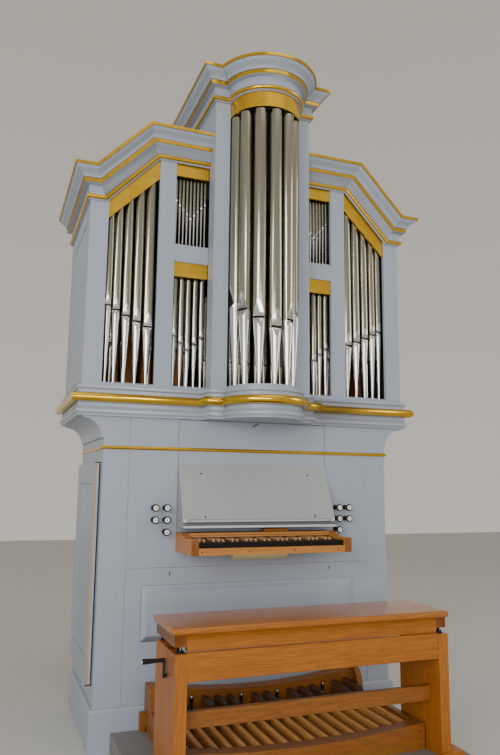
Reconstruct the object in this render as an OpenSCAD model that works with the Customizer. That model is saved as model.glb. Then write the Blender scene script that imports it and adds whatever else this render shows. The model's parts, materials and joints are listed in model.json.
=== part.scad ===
// A small church pipe organ: a panelled case with a round pipe tower, one manual,
// ten stop knobs, a concave pedalboard, a platform and a bench that cranks up and down.
// X runs to the player's right, Y into the case, Z up from the stone floor.

/* [Lower case] */
// Width of the lower case
lower_w = 1564; // [1480:2:1650]
// Depth of the case from front to wall
case_d = 748; // [650:2:850]
// Height of the socle and of the platform
socle_h = 85; // [60:1:110]
// Height of the top of the plinth
plinth_z = 188; // [160:1:220]
// How far the plinth and socle stand out
plinth_out = 17; // [10:1:30]
// Thickness of the case boards
board_t = 22; // [18:1:28]
// Height of the top of the lower case
lower_z = 1530; // [1500:2:1560]
// Height of the bottom edge of the access panel
access_z0 = 384; // [340:2:420]
// Height of the top edge of the access panel
access_z1 = 805; // [760:2:830]
// Height of the top of the rail that carries the manual
rail_z = 884; // [870:2:890]
// Width of the front stiles of the lower case
lower_stile_w = 127; // [100:1:140]
// Half width of the centre panel
centre_half = 409; // [400:1:430]
// Gap that shows as a line between two panels
panel_gap = 0.8; // [0.4:0.1:1.5]
// Distance of the thin gilded band below the top of the lower case
band_drop = 151; // [120:1:180]
// Diameter of the thin gilded band
band_d = 18; // [12:1:24]

/* [Side doors] */
// Thickness of the side doors
door_t = 20; // [16:1:24]
// Gap between a side door and the wall behind it
door_gap = 7; // [6:0.5:9]
// Distance of a side door's front edge behind the front
door_front = 60; // [50:1:80]
// Distance of a side door's rear edge from the wall
door_rear = 58; // [50:1:80]
// Height of a side door's lower edge above the plinth
door_low = 93; // [80:1:110]
// Distance of a side door's upper edge below the top of the lower case
door_high = 226; // [210:1:260]
// How far a side door laps over its doorway
door_lap = 25; // [20:1:30]

/* [Raised field] */
// Margin between the access panel's edge and its raised field
field_margin = 83; // [60:1:100]
// Width of the bevel round the raised field
field_bevel = 25; // [15:1:40]
// Height of the raised field over the panel
field_up = 7; // [4:0.5:10]
// Step at the inner edge of the bevel
field_step = 2; // [1:0.5:3]
// Width of the quirk round the raised field
quirk_w = 2.5; // [1.5:0.5:4]
// Depth of the quirk round the raised field
quirk_d = 4; // [2:0.5:6]

/* [Upper case] */
// How far the upper case stands out over the lower one at each side
overhang = 117; // [100:1:130]
// Height of the boards that close the upper case below
waist_t = 22; // [18:1:30]
// Height of the belt between the lower case and the sill of the pipe fields
belt_h = 166; // [150:2:190]
// Height of the cornice line at the outer ends above the sill
wing_h = 941; // [880:1:1000]
// How much the cornice line rises towards the tower
rake_rise = 278; // [240:1:300]
// Width of the outer stile of the upper case
outer_stile_w = 94; // [84:1:110]
// Distance from the upper case's side to where the cornice starts to rise
rake_side = 74; // [60:1:84]
// Width of the stile between the outer and the inner fields
inner_stile_w = 88; // [70:1:100]
// Distance from the stile to where the cornice stops rising
rake_flat = 12; // [8:1:20]
// Width of the inner pipe fields
inner_field_w = 183; // [165:1:190]
// Height of the lower inner fields
lower_field_h = 659; // [620:1:700]
// Height of the rail between the inner fields
inner_rail_h = 95; // [70:1:110]
// Distance of the gilded shades below the cornice line
shade_drop = 13; // [8:1:20]
// Height of the gilded shade of the outer fields
outer_shade_h = 105; // [80:5:130]
// Height of the gilded shade of the upper inner fields
upper_shade_h = 70; // [50:5:90]
// Height of the gilded shade of the lower inner fields
lower_shade_h = 78; // [50:5:100]
// Thickness of the gilded shades
shade_t = 12; // [8:1:16]

/* [Tower] */
// Width of the tower over its posts
tower_w = 550; // [520:2:580]
// Distance of the tower posts in front of the wings
tower_out = 95; // [95:1:120]
// Radius of the round bay
bay_r = 192; // [188:1:205]
// Distance of the bay's centre in front of the tower posts
bay_fwd = 13; // [8:1:20]
// Height of the cornice line of the tower above the sill
tower_h = 1563; // [1500:1:1630]
// Height of the gilded shade of the tower
tower_shade_h = 84; // [70:1:110]

/* [Mouldings] */
// Height of the cornice above its line
cornice_h = 143; // [135:1:150]
// How far the cornice stands out
cornice_out = 93; // [88:1:94]
// Diameter of the bead on the cornice line
bead_d = 22; // [16:1:24]
// Diameter of the large gilded roll
roll_d = 43; // [36:1:48]
// Height of the centre of the large gilded roll above the lower case
roll_up = 86.5; // [82:0.5:92]
// Distance of the roll's centre in front of the boards
roll_out = 32; // [30:1:36]

/* [Pipes] */
// Distance of the field pipes' axes behind the front
pipe_back = 46; // [42:1:60]
// Radius of the ring on which the tower pipes stand
tower_pipe_r = 157; // [150:1:158]
// Angle between two tower pipes
tower_pipe_step = 29; // [28:0.5:29.5]
// Diameter of the tower pipes
tower_pipe_d = 67; // [58:1:68]
// Height of the middle tower pipe's mouth above the sill
tower_mouth = 284; // [250:2:320]
// How much higher each next tower mouth lies
tower_mouth_step = 47; // [20:1:60]
// Diameter of the pipes of the lower inner fields
lower_pipe_d = 28; // [22:1:32]
// Diameter of the pipes of the upper inner fields
upper_pipe_d = 15; // [10:1:17]

/* [Manual] */
// Pitch of the natural keys
key_pitch = 23.5; // [22.5:0.1:24]
// Number of natural keys
naturals = 32; // [32:1:32]
// Width of the cheeks beside the keys
cheek_w = 36; // [28:1:40]
// How far the manual stands out of the case
manual_out = 280; // [260:2:300]
// Height of the top of the natural keys above the rail
key_up = 56; // [52:1:62]
// Length of the natural keys that shows
key_len = 142; // [130:1:150]
// Length of the sharp keys
sharp_len = 92; // [80:1:100]

/* [Music desk] */
// Distance of the music desk's ends inside the centre panel's
desk_side = 1; // [1:1:20]
// Height of the foot of the music desk above the rail
desk_up = 114; // [110:1:130]
// How far the foot of the music desk stands out
desk_out = 130; // [110:2:150]
// Distance of the top of the music desk below the thin gilded band
desk_top_gap = 71; // [50:1:90]
// Height of the lip along the foot of the music desk
lip_h = 19; // [14:1:24]
// Height of the dark groove over the lip
groove_h = 22; // [16:1:26]

/* [Stop knobs] */
// Distance of the inner columns of knobs outside the centre panel
knob_side = 61; // [55:1:80]
// Pitch of the stop knobs
knob_pitch = 57.5; // [50:0.5:60]
// Height of the top row of knobs above the rail
knob_up = 207; // [195:1:230]
// Diameter of the head of a knob
knob_d = 36; // [30:1:40]
// How far a pushed-in knob stands out
knob_out = 57; // [50:1:70]
// Diameter of a knob's stem in the panel
stem_d = 16; // [12:0.5:18]
// Gap round a stem in its bore
stem_gap = 0.5; // [0.3:0.1:0.8]

/* [Pedalboard] */
// Number of natural pedals
pedals = 17; // [17:1:17]
// Pitch of the natural pedals
pedal_pitch = 62; // [60:0.5:65]
// Gap between the outer pedals and the cheeks
pedal_play = 6; // [4:1:10]
// Depth of the pedalboard
pedal_d = 645; // [600:5:660]
// Depth of the box at the rear of the pedalboard
rear_d = 71; // [60:1:90]
// Depth of the box at the front of the pedalboard
front_d = 66; // [55:1:80]
// Height of the pedalboard at its rear corners above the platform
pedal_rear_h = 205; // [180:1:215]
// Height of the pedalboard at its front corners above the platform
pedal_front_h = 108; // [100:1:120]
// Depth of the hollow of the pedals and the front box in the middle
pedal_sag = 30; // [20:1:40]
// Depth of the hollow of the rear box in the middle
rear_sag = 48; // [40:1:55]
// Width of a natural pedal
bar_w = 26; // [22:1:28]
// Height of a natural pedal's bar
bar_h = 40; // [30:1:42]
// Length of a sharp pedal
pedal_sharp_l = 185; // [150:5:200]
// Thickness of the pedalboard's cheeks
pedal_cheek_t = 30; // [24:1:36]

/* [Bench] */
// Gap between the pedalboard and each end of the bench
bench_gap = 12; // [8:1:20]
// How far the seat stands over the bench's ends
seat_over = 15; // [10:1:30]
// Depth of the bench seat
seat_d = 322; // [300:2:340]
// Thickness of the bench seat
seat_t = 27; // [24:1:32]
// Height of the bench seat above the floor
seat_z = 673; // [668:1:690]
// Distance of the bench's front from the case
bench_front = 765; // [755:1:775]
// Thickness of the bench's end boards
bench_end_t = 48; // [40:1:52]
// Height of the end boards' tops above the floor
bench_end_z = 580; // [570:1:585]
// Height of the bench's front board
bench_board_h = 104; // [90:1:120]
// Height of the stretcher
stretcher_h = 62; // [50:1:75]
// Height of the stretcher's lower edge above the platform
stretcher_up = 211; // [190:1:240]
// Diameter of the chromed rods
rod_d = 18; // [14:1:20]
// Gap round a rod in its bore
rod_gap = 0.5; // [0.3:0.1:0.8]

/* [Platform] */
// How far the platform stands out beside the bench's feet
platform_side = 40; // [30:1:60]
// How far the platform stands out in front of the bench
platform_front = 55; // [45:1:80]

/* [Hidden] */
$fn = 48;

low = lower_w / 2;
up = low + overhang;
tow = tower_w / 2;
back_t = 18;
back_y = case_d - back_t;
inside_low = low - board_t;
inside_up = up - board_t;
waist_z = lower_z + waist_t;
sill_z = lower_z + belt_h;
wing_low_z = sill_z + wing_h;
wing_high_z = wing_low_z + rake_rise;
inner_out_x = tow + inner_field_w;
field_in_x = inner_out_x + inner_stile_w;
field_out_x = up - outer_stile_w;
rake_out_x = up - rake_side;
rake_in_x = field_in_x + rake_flat;
inner_rail_z0 = sill_z + lower_field_h;
inner_rail_z1 = inner_rail_z0 + inner_rail_h;
tower_z = sill_z + tower_h;
roll_z = lower_z + roll_up;
band_z = lower_z - band_drop;
rake_run = rake_out_x - rake_in_x;
rake_a = atan2(rake_rise, rake_run);
low_top = wing_low_z + cornice_h;
high_top = wing_high_z + cornice_h;
far = 900;

grey = [0.62, 0.65, 0.68];
gold = [0.80, 0.62, 0.20];
tin = [0.74, 0.73, 0.70];
oak = [0.78, 0.52, 0.26];
pale_oak = [0.85, 0.64, 0.38];
dark = [0.12, 0.11, 0.10];
chrome = [0.85, 0.86, 0.88];

// A box between two corners.
module block(x0, x1, y0, y1, z0, z1) {
    translate([x0, y0, z0]) cube([x1 - x0, y1 - y0, z1 - z0]);
}

// The children and their mirror image on the other side of the middle.
module both() {
    children();
    mirror([1, 0, 0]) children();
}

// A profile of [out, height] points along a straight run from p to q in plan, outside on the right.
module run(p, q, profile) {
    translate([p[0], p[1], 0])
        rotate([0, 0, atan2(q[1] - p[1], q[0] - p[0])])
            rotate([90, 0, 90])
                linear_extrude(norm(q - p))
                    polygon([for (v = profile) [-v[0], v[1]]]);
}

// What lies over a region of the plan.
module over(region) {
    intersection() {
        translate([0, 0, -far])
            linear_extrude(6 * far) polygon(region);
        children();
    }
}

// What lies behind a region of the front elevation.
module facing(region) {
    intersection() {
        translate([0, far, 0])
            rotate([90, 0, 0])
                linear_extrude(2 * far) polygon(region);
        children();
    }
}

// The profile, lifted by a height.
function lifted(profile, z) = [for (v = profile) [v[0], v[1] + z]];

// Points of a circle's part that lies in front of a flat face, from below to above.
function half_round(c, r, face, n) =
    let (a = acos((face - c[0]) / r))
    [for (i = [0:n]) let (b = -a + 2 * a * i / n) [c[0] + r * cos(b), c[1] + r * sin(b)]];

// Cornice: frieze, fillet, slanted cyma and top fillet, as [out, height over the line].
frieze_drop = 17;
frieze_out = 12;
fillet_out = 36;
fillet_z0 = 60;
fillet_z1 = 84;
cyma_z1 = cornice_h - 15;
cyma_out = cornice_out - 9;
cyma_in = fillet_out + 10;
leaf_t = 6;
cyma = [for (i = [0:8]) let (t = i / 8)
    [cyma_in + (cyma_out - cyma_in) * (t - 0.11 * sin(360 * t)),
        fillet_z1 + 4 + (cyma_z1 - fillet_z1 - 4) * t]];
cornice_profile = concat([[0, -frieze_drop], [frieze_out - 5, -frieze_drop],
    [frieze_out - 5, 5 - frieze_drop], [frieze_out, 5 - frieze_drop],
    [frieze_out, fillet_z0], [fillet_out, fillet_z0], [fillet_out, fillet_z1], [cyma_in, fillet_z1]],
    cyma, [[cornice_out - leaf_t, cyma_z1], [cornice_out - leaf_t, cornice_h], [0, cornice_h]]);
bead_profile = half_round([frieze_out, 0], bead_d / 2, frieze_out, 12);
leaf_profile = [[fillet_out, fillet_z0 + 3], [fillet_out + leaf_t, fillet_z0 + 3],
    [fillet_out + leaf_t, fillet_z1 - 2], [fillet_out, fillet_z1 - 2]];
top_leaf_profile = [[cornice_out - leaf_t, cyma_z1], [cornice_out, cyma_z1], [cornice_out, cornice_h],
    [cornice_out - leaf_t, cornice_h]];

// Belt between the lower and the upper case, with a flat seat for the large gilded roll.
seat_out = roll_out - roll_d / 2 + 3.5;
belt_z0 = lower_z;
belt_z1 = sill_z - 20;
belt_profile = [[0, belt_z0], [seat_out + 2, belt_z0], [seat_out + 2, belt_z0 + 12],
    [seat_out + 10, belt_z0 + 16], [seat_out + 10, belt_z0 + 30], [seat_out + 3, belt_z0 + 38],
    [seat_out, belt_z0 + 46], [seat_out, belt_z1 - 20], [seat_out + 8, belt_z1 - 12],
    [seat_out + 8, belt_z1], [0, belt_z1]];
roll_profile = half_round([roll_out, roll_z], roll_d / 2, seat_out, 24);

// Plan corners of the upper case's left half, from the wall to the bay.
wall_c = [-up, case_d];
front_c = [-up, 0];
post_c = [-tow, -tower_out];

// The bay's circle, where it meets the posts' fronts, and the mitre of a moulding there.
bay_y = tower_out + bay_fwd;
bay_x = sqrt(bay_r * bay_r - bay_fwd * bay_fwd);
bay_c = [-bay_x, -tower_out];
mitre_x = sqrt(bay_x * bay_x + 2 * (bay_r + bay_fwd) * cornice_out);
bay_mitre = bay_c + 8 * [bay_x - mitre_x, -cornice_out];

// Where a run along the tower's side starts: at the wall, or mitred against the wing's run.
from_wall = [[-tow, case_d], [-tow - far, case_d]];
from_wing = [[-tow, 0], [-tow - far, -far]];

// A profile along the left side and the post front of the tower.
module tower_runs(profile, start) {
    over(concat(start, [[-tow - far, -tower_out - far], post_c]))
        run(start[0], [-tow, -tower_out - far], profile);
    over([post_c, [-tow - far, -tower_out - far], bay_mitre, bay_c])
        run([-tow - far, -tower_out], [0, -tower_out], profile);
}

// A profile round the bay, between the two mitres.
module bay_ring(profile) {
    over([bay_c, bay_mitre, [-bay_mitre[0], bay_mitre[1]], [bay_x, -tower_out]])
        translate([0, -bay_y, 0])
            rotate_extrude($fn = 96)
                polygon([for (v = profile) [bay_r + v[0], v[1]]]);
}

// A profile along the left side and front of a wide case, mitred at its corner and against the tower's run.
module wing_runs(profile, half) {
    over([[-half, case_d], [-half - far, case_d], [-half - far, -far], [-half, 0]])
        run([-half, case_d], [-half, -far], profile);
    over([[-half, 0], [-half - far, -far], from_wing[1], from_wing[0]])
        run([-half - far, 0], [-tow, 0], profile);
}

// Front elevation corners of the cornice line and the mitre lines there.
rake_c0 = [-rake_out_x, wing_low_z];
rake_c1 = [-rake_in_x, wing_high_z];
mitre = 400 * [-sin(rake_a / 2), cos(rake_a / 2)];

// A cornice profile along the left wing: side, outer flat, rising part and inner flat,
// which meet in hairline mitres.
hair = [0.1, 0];
module wing_cornice_runs(profile) {
    flat = lifted(profile, wing_low_z);
    over([wall_c, [-up - far, case_d], [-up - far, -far], front_c])
        run(wall_c, [-up, -far], flat);
    facing([rake_c0 - mitre - hair, rake_c0 + mitre - hair, [-up - far, wing_low_z + far],
            [-up - far, wing_low_z - far]])
        over([front_c, [-up - far, -far], [far, -far], [far, 0]])
            run([-up - far, 0], [-tow, 0], flat);
    facing([rake_c0 - mitre + hair, rake_c1 - mitre - hair, rake_c1 + mitre - hair,
            rake_c0 + mitre + hair])
        translate([-rake_out_x, 0, wing_low_z])
            rotate([0, -rake_a, 0])
                translate([-far, 0, 0])
                    run([0, 0], [3 * far, 0], profile);
    facing([rake_c1 - mitre + hair, [-tow, wing_high_z - far], [-tow, wing_high_z + far],
            rake_c1 + mitre + hair])
        run([-up, 0], [-tow, 0], lifted(profile, wing_high_z));
}

module platform() color([0.45, 0.46, 0.47])
    block(-foot_x1 - platform_side, foot_x1 + platform_side, -bench_front - platform_front,
        -plinth_out, 0, socle_h);

module plinth() color(grey) {
    cap = 12;
    block(-low - plinth_out, low + plinth_out, -plinth_out, case_d, 0, plinth_z - cap);
    // moulded upper edge, a quarter round that dies against the boards
    intersection() {
        block(-low - plinth_out, low + plinth_out, -plinth_out, case_d, plinth_z - cap, plinth_z);
        union() {
            block(-low - plinth_out + cap, low + plinth_out - cap, -plinth_out + cap, case_d,
                plinth_z - cap, plinth_z);
            translate([0, -plinth_out + cap, plinth_z - cap])
                rotate([0, 90, 0]) cylinder(r = cap, h = 2 * (low + plinth_out - cap), center = true);
            both()
                translate([-low - plinth_out + cap, case_d, plinth_z - cap])
                    rotate([90, 0, 0]) cylinder(r = cap, h = case_d + plinth_out - cap);
            both()
                translate([-low - plinth_out + cap, -plinth_out + cap, plinth_z - cap]) sphere(r = cap);
        }
    }
}

// The doorway in each side wall of the lower case, lapped by its door.
door_y0 = door_front;
door_y1 = case_d - door_rear;
door_z0 = plinth_z + door_low;
door_z1 = lower_z - door_high;

module lower_sides() color(grey) {
    both() difference() {
        block(-low, -inside_low, board_t, back_y, plinth_z, lower_z);
        block(-low - 1, -inside_low + 1, door_y0 + door_lap, door_y1 - door_lap,
            door_z0 + door_lap, door_z1 - door_lap);
    }
}

module back_boards() color(pale_oak) {
    block(-low, low, back_y, case_d, plinth_z, lower_z);
    facing([[-up, waist_z], [-up, low_top], [-rake_out_x, low_top], [-rake_in_x, high_top],
            [rake_in_x, high_top], [rake_out_x, low_top], [up, low_top], [up, waist_z]])
        block(-up, up, back_y, case_d, waist_z, high_top);
}

panel_half = low - lower_stile_w;
module lower_front_frame() color(grey) {
    both() block(-low, -panel_half, 0, board_t, plinth_z, lower_z);
    block(-panel_half, panel_half, 0, board_t, access_z1, rail_z);
}

module bottom_board() color(grey)
    block(-panel_half + panel_gap, panel_half - panel_gap, 0, board_t, plinth_z, access_z0);

// Section of the raised field from a to b, as [place, height over the panel].
function field_section(a, b) = let (root = -board_t / 2, low_up = field_up - field_step)
    [[a, root], [a, 1], [a + field_bevel, low_up], [a + field_bevel, field_up],
        [b - field_bevel, field_up], [b - field_bevel, low_up], [b, 1], [b, root]];

module access_panel() color(grey) {
    fx = panel_half - field_margin;
    fz0 = access_z0 + field_margin;
    fz1 = access_z1 - field_margin;
    difference() {
        block(-panel_half + panel_gap, panel_half - panel_gap, 0, board_t, access_z0, access_z1 - panel_gap);
        block(-fx - quirk_w, fx + quirk_w, -1, quirk_d, fz0 - quirk_w, fz1 + quirk_w);
    }
    // raised field with bevels on its four sides
    intersection() {
        translate([-fx, 0, 0])
            rotate([90, 0, 90]) linear_extrude(2 * fx)
                polygon([for (v = field_section(fz0, fz1)) [-v[1], v[0]]]);
        translate([0, 0, fz0])
            linear_extrude(fz1 - fz0)
                polygon([for (v = field_section(-fx, fx)) [v[0], -v[1]]]);
    }
}

module stem_bores() {
    for (k = knob_places)
        translate([k[0], -1, k[1]])
            rotate([-90, 0, 0]) cylinder(d = stem_d + 2 * stem_gap, h = board_t + 2);
}

module knob_panels() color(grey)
    difference() {
        both() block(-panel_half + panel_gap, -centre_half, 0, board_t, rail_z, lower_z);
        stem_bores();
    }

module centre_panel() color(grey)
    block(-centre_half + panel_gap, centre_half - panel_gap, 0, board_t, rail_z, lower_z);

cove_out = overhang - 10;
cove_h = 104;
module side_coves() color(grey) {
    both() difference() {
        block(-low - cove_out, -low, 0, case_d, lower_z - cove_h, lower_z);
        translate([-low - cove_out, -1, lower_z - cove_h])
            rotate([-90, 0, 0]) cylinder(r = cove_h - 8, h = case_d + 2, $fn = 96);
    }
}

module waist_board() color(grey)
    block(-up, up, 0, case_d, lower_z, waist_z);

module thin_gold_band() color(gold)
    both() {
        profile = half_round([0, band_z], band_d / 2, 0, 12);
        over([[-low, case_d], [-low - far, case_d], [-low - far, -far], [-low, 0]])
            run([-low, case_d], [-low, -far], profile);
        over([[-low, 0], [-low - far, -far], [0, -far], [0, 0]])
            run([-low - far, 0], [0, 0], profile);
    }

module belt_moulding() color(grey) {
    both() {
        wing_runs(belt_profile, up);
        tower_runs(belt_profile, from_wing);
    }
    bay_ring(belt_profile);
}

module gold_roll() color(gold) {
    both() {
        wing_runs(roll_profile, up);
        tower_runs(roll_profile, from_wing);
    }
    bay_ring(roll_profile);
}

// Left half of the upper front's outline in the front elevation.
wing_outline = [[-up, waist_z], [-up, low_top], [-rake_out_x, low_top], [-rake_in_x, high_top],
    [-tow, high_top], [-tow, waist_z]];
function line_z(x) = wing_low_z + rake_rise * min(1, max(0, (rake_out_x - x) / rake_run));

module upper_front_frame() color(grey)
    both() difference() {
        facing(wing_outline) block(-up, -tow, 0, board_t, waist_z, high_top);
        facing([[-field_out_x, sill_z], [-field_out_x, line_z(field_out_x) - shade_drop],
                [-rake_in_x, wing_high_z - shade_drop],
                [-field_in_x, wing_high_z - shade_drop], [-field_in_x, sill_z]])
            block(-up, -tow, -1, board_t + 1, sill_z, high_top);
        block(-inner_out_x, -tow + 1, -1, board_t + 1, sill_z, inner_rail_z0);
        block(-inner_out_x, -tow + 1, -1, board_t + 1, inner_rail_z1, wing_high_z - shade_drop);
    }

side_frame_w = 90;
sunk = 5;
module upper_sides() color(grey)
    both() difference() {
        block(-up, -inside_up, board_t, back_y, waist_z, low_top);
        // sunk field of the framed side
        block(-up - 1, -up + sunk, side_frame_w, back_y - side_frame_w, sill_z + 0.7 * side_frame_w,
            wing_low_z - side_frame_w);
    }

roof_t = 18;
module wing_roofs() color(grey)
    both() facing([[-inside_up, low_top - roof_t], [-inside_up, low_top], [-rake_out_x, low_top],
            [-rake_in_x, high_top], [-tow, high_top], [-tow, high_top - roof_t],
            [-rake_in_x, high_top - roof_t], [-rake_out_x, low_top - roof_t]])
        block(-inside_up, -tow, board_t, back_y, low_top - 2 * roof_t, high_top);

module wing_cornices() color(grey)
    both() wing_cornice_runs(cornice_profile);

module cornice_gilding() color(gold) {
    for (p = [bead_profile, leaf_profile, top_leaf_profile]) {
        both() {
            wing_cornice_runs(p);
            tower_runs(lifted(p, tower_z), from_wall);
        }
        bay_ring(lifted(p, tower_z));
    }
}

shade_y = 6;
module pipe_shades() color(gold) {
    both() {
        facing([[-field_out_x, line_z(field_out_x) - shade_drop - outer_shade_h],
                [-field_out_x, line_z(field_out_x) - shade_drop], [-rake_in_x, wing_high_z - shade_drop],
                [-field_in_x, wing_high_z - shade_drop],
                [-field_in_x, wing_high_z - shade_drop - outer_shade_h]])
            block(-field_out_x, -field_in_x, shade_y, shade_y + shade_t, wing_low_z - rake_rise, high_top);
        block(-inner_out_x, -tow, shade_y, shade_y + shade_t, wing_high_z - shade_drop - upper_shade_h,
            wing_high_z - shade_drop);
        block(-inner_out_x, -tow, shade_y, shade_y + shade_t, inner_rail_z0 - lower_shade_h, inner_rail_z0);
    }
    // bent band of the round bay
    intersection() {
        translate([0, -bay_y, head_z0 - tower_shade_h])
            difference() {
                cylinder(r = bay_r, h = tower_shade_h, $fn = 96);
                translate([0, 0, -1]) cylinder(r = bay_r - shade_t, h = tower_shade_h + 2, $fn = 96);
            }
        block(-bay_r, bay_r, -bay_y - bay_r, -tower_out, head_z0 - tower_shade_h, head_z0);
    }
}

module tower_base() color(grey) {
    board_z = sill_z - board_t;
    intersection() {
        translate([0, -bay_y, lower_z]) cylinder(r = bay_r, h = board_z - lower_z, $fn = 96);
        block(-bay_r, bay_r, -bay_y - bay_r, -tower_out, lower_z, board_z);
    }
    block(-tow, tow, -tower_out, 0, lower_z, board_z);
}

head_z0 = tower_z - frieze_drop;
module tower_posts() color(grey)
    both() {
        block(-tow, -bay_x, -tower_out, -tower_out + board_t, sill_z - board_t, head_z0);
        block(-tow, -tow + board_t, -tower_out + board_t, 0, sill_z - board_t, head_z0);
    }

module tower_box() color(grey) {
    // head behind the cornice, round in front
    difference() {
        translate([0, 0, head_z0])
            linear_extrude(tower_z + cornice_h - head_z0) head_plan(0);
        translate([0, 0, head_z0 - 1])
            linear_extrude(tower_z + cornice_h - roof_t - head_z0 + 1) head_plan(board_t);
    }
    // sides and back above the wings
    both() block(-tow, -tow + board_t, 0, case_d, high_top, head_z0);
    both() block(-tow, -tow + board_t, 0, back_y, high_top - roof_t, high_top);
    block(-tow + board_t, tow - board_t, back_y, case_d, high_top, head_z0);
}

// Plan of the tower's head, shrunk by a board.
module head_plan(inset) {
    translate([-tow + inset, -tower_out + inset])
        square([2 * (tow - inset), case_d + tower_out - 2 * inset]);
    intersection() {
        translate([0, -bay_y]) circle(r = bay_r - inset, $fn = 96);
        translate([-bay_r, -bay_y - bay_r]) square([2 * bay_r, bay_r + bay_fwd + inset + 1]);
    }
}

module tower_cornice() color(grey) {
    both() tower_runs(lifted(cornice_profile, tower_z), from_wall);
    bay_ring(lifted(cornice_profile, tower_z));
}

toe_back = 2 * pipe_back;
toe_d = 38;
module toe_boards() color(grey) {
    both() {
        block(-inside_up, -tow, board_t, toe_back, sill_z - board_t, sill_z);
        block(-inner_out_x - toe_d / 2, -tow, board_t, board_t + toe_d, inner_rail_z1 - board_t,
            inner_rail_z1);
    }
    intersection() {
        translate([0, -bay_y, sill_z - board_t]) cylinder(r = bay_r, h = board_t, $fn = 96);
        block(-bay_r, bay_r, -bay_y - bay_r, -tower_out, sill_z - board_t, sill_z);
    }
    block(-bay_x, bay_x, -tower_out, -tower_out + board_t, sill_z - board_t, sill_z);
    block(-tow + board_t, tow - board_t, -tower_out + board_t, 0, sill_z - board_t, sill_z);
}

// The windchest under the pipes, and the gaps between it and the case.
chest_z = sill_z + 26;
chest_front = 150;
chest_rear = 160;
chest_side = 20;
module windchest() color(grey)
    block(-inside_up + chest_side, inside_up - chest_side, chest_front, back_y - chest_rear, waist_z,
        chest_z);

// The mouth of a pipe, in diameters: its width and height, how deep it goes, and how far
// from the axis the lips are pressed flat.
mouth_w = 0.76;
mouth_h = 0.17;
mouth_in = 0.08;
upper_flat = 0.30;
lower_flat = 0.33;
upper_tilt = 9;
lower_tilt = 17;

// A flue pipe on its foot: cone foot, body, lips pressed flat and the mouth between them, facing -Y.
module pipe(d, foot, height, tip) {
    difference() {
        union() {
            cylinder(d1 = tip, d2 = d, h = foot);
            translate([0, 0, foot]) cylinder(d = d, h = height - foot);
        }
        // upper lip, pressed flat under a tall arch
        translate([0, -upper_flat * d, foot + mouth_h * d])
            rotate([upper_tilt, 0, 0]) translate([-d, -2 * d, 0]) cube(2 * d);
        // lower lip, pressed flat on the foot
        translate([0, -lower_flat * d, foot])
            rotate([-lower_tilt, 0, 0]) translate([-d, -2 * d, -2 * d]) cube(2 * d);
        translate([-mouth_w * d / 2, -d, foot]) cube([mouth_w * d, d - mouth_in * d, mouth_h * d]);
    }
}

tower_tip = 19;
tower_top_gap = 8;
module tower_pipes() color(tin)
    for (i = [-3:3])
        translate([0, -bay_y, sill_z])
            rotate([0, 0, i * tower_pipe_step])
                translate([0, -tower_pipe_r, 0])
                    pipe(tower_pipe_d, tower_mouth + tower_mouth_step * abs(i),
                        head_z0 - tower_shade_h - sill_z - tower_top_gap, tower_tip);

// Outer field pipes: place between the first and the last as a share of their distance,
// diameter and mouth height over the sill.
outer_row = [[0, 54, 297], [0.277, 49, 322], [0.544, 46, 348], [0.791, 43, 374], [1, 40, 394]];
outer_first = field_in_x + 34;
outer_last = field_out_x - 19;
outer_tip = 12;
// How far the pipes' tops reach up behind the shades
outer_tops = 60;
lower_tops = 40;
upper_tops = 30;
module outer_pipes() color(tin)
    both() for (p = outer_row) let (x = outer_first + p[0] * (outer_last - outer_first))
        translate([-x, pipe_back, sill_z])
            pipe(p[1], p[2], line_z(x) - shade_drop - outer_shade_h + outer_tops - sill_z, outer_tip);

// Inner field pipes: pitch, foot of the middle pipe, rise of each next mouth and tip.
inner_mid = (tow + inner_out_x) / 2;
lower_pitch = inner_field_w / 5 + 0.4;
lower_foot = 197;
lower_step = 35;
lower_tip = 10;
upper_pitch = inner_field_w / 9 - 0.3;
upper_foot = 150;
upper_step = 23;
upper_tip = 6;
module lower_inner_pipes() color(tin)
    both() for (i = [-2:2])
        translate([-inner_mid + i * lower_pitch, pipe_back, sill_z])
            pipe(lower_pipe_d, lower_foot + lower_step * abs(i),
                inner_rail_z0 - lower_shade_h + lower_tops - sill_z, lower_tip);

module upper_inner_pipes() color(tin)
    both() for (i = [-4:4])
        translate([-inner_mid + i * upper_pitch, board_t + toe_d / 2, inner_rail_z1])
            pipe(upper_pipe_d, upper_foot + upper_step * abs(i),
                wing_high_z - shade_drop - upper_shade_h + upper_tops - inner_rail_z1, upper_tip);

// Two rows of pipes on the windchest: eight of metal and six of wood on each side.
rear_in = 55;
rear_out = 71;
rear_x0 = tow + rear_in;
rear_x1 = inside_up - rear_out;
rear_y = chest_front + 60;
rear_h = 0.74 * wing_h;
rear_pipe_d = 38;
rear_foot = 0.2 * wing_h;
module rear_metal_pipes() color(tin)
    both() for (i = [0:7])
        translate([-rear_x0 - i * (rear_x1 - rear_x0) / 7, rear_y, chest_z])
            pipe(rear_pipe_d + 2 * (i % 3), rear_foot * (1 + 0.06 * (i % 4)), rear_h * (1 - 0.04 * (i % 5)),
                upper_tip + 4);

wood_w = 52;
wood_d = 64;
wood_y = rear_y + rear_pipe_d + wood_w;
wood_h = 0.8 * wing_h;
wood_x0 = rear_x0 - 12;
wood_x1 = rear_x1 - 38;
module rear_wood_pipes() color([0.50, 0.33, 0.20])
    both() for (i = [0:5]) let (x = wood_x0 + i * (wood_x1 - wood_x0) / 5)
        block(-x - wood_w, -x, wood_y, wood_y + wood_d, chest_z, chest_z + wood_h * (1 - 0.05 * i));

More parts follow.
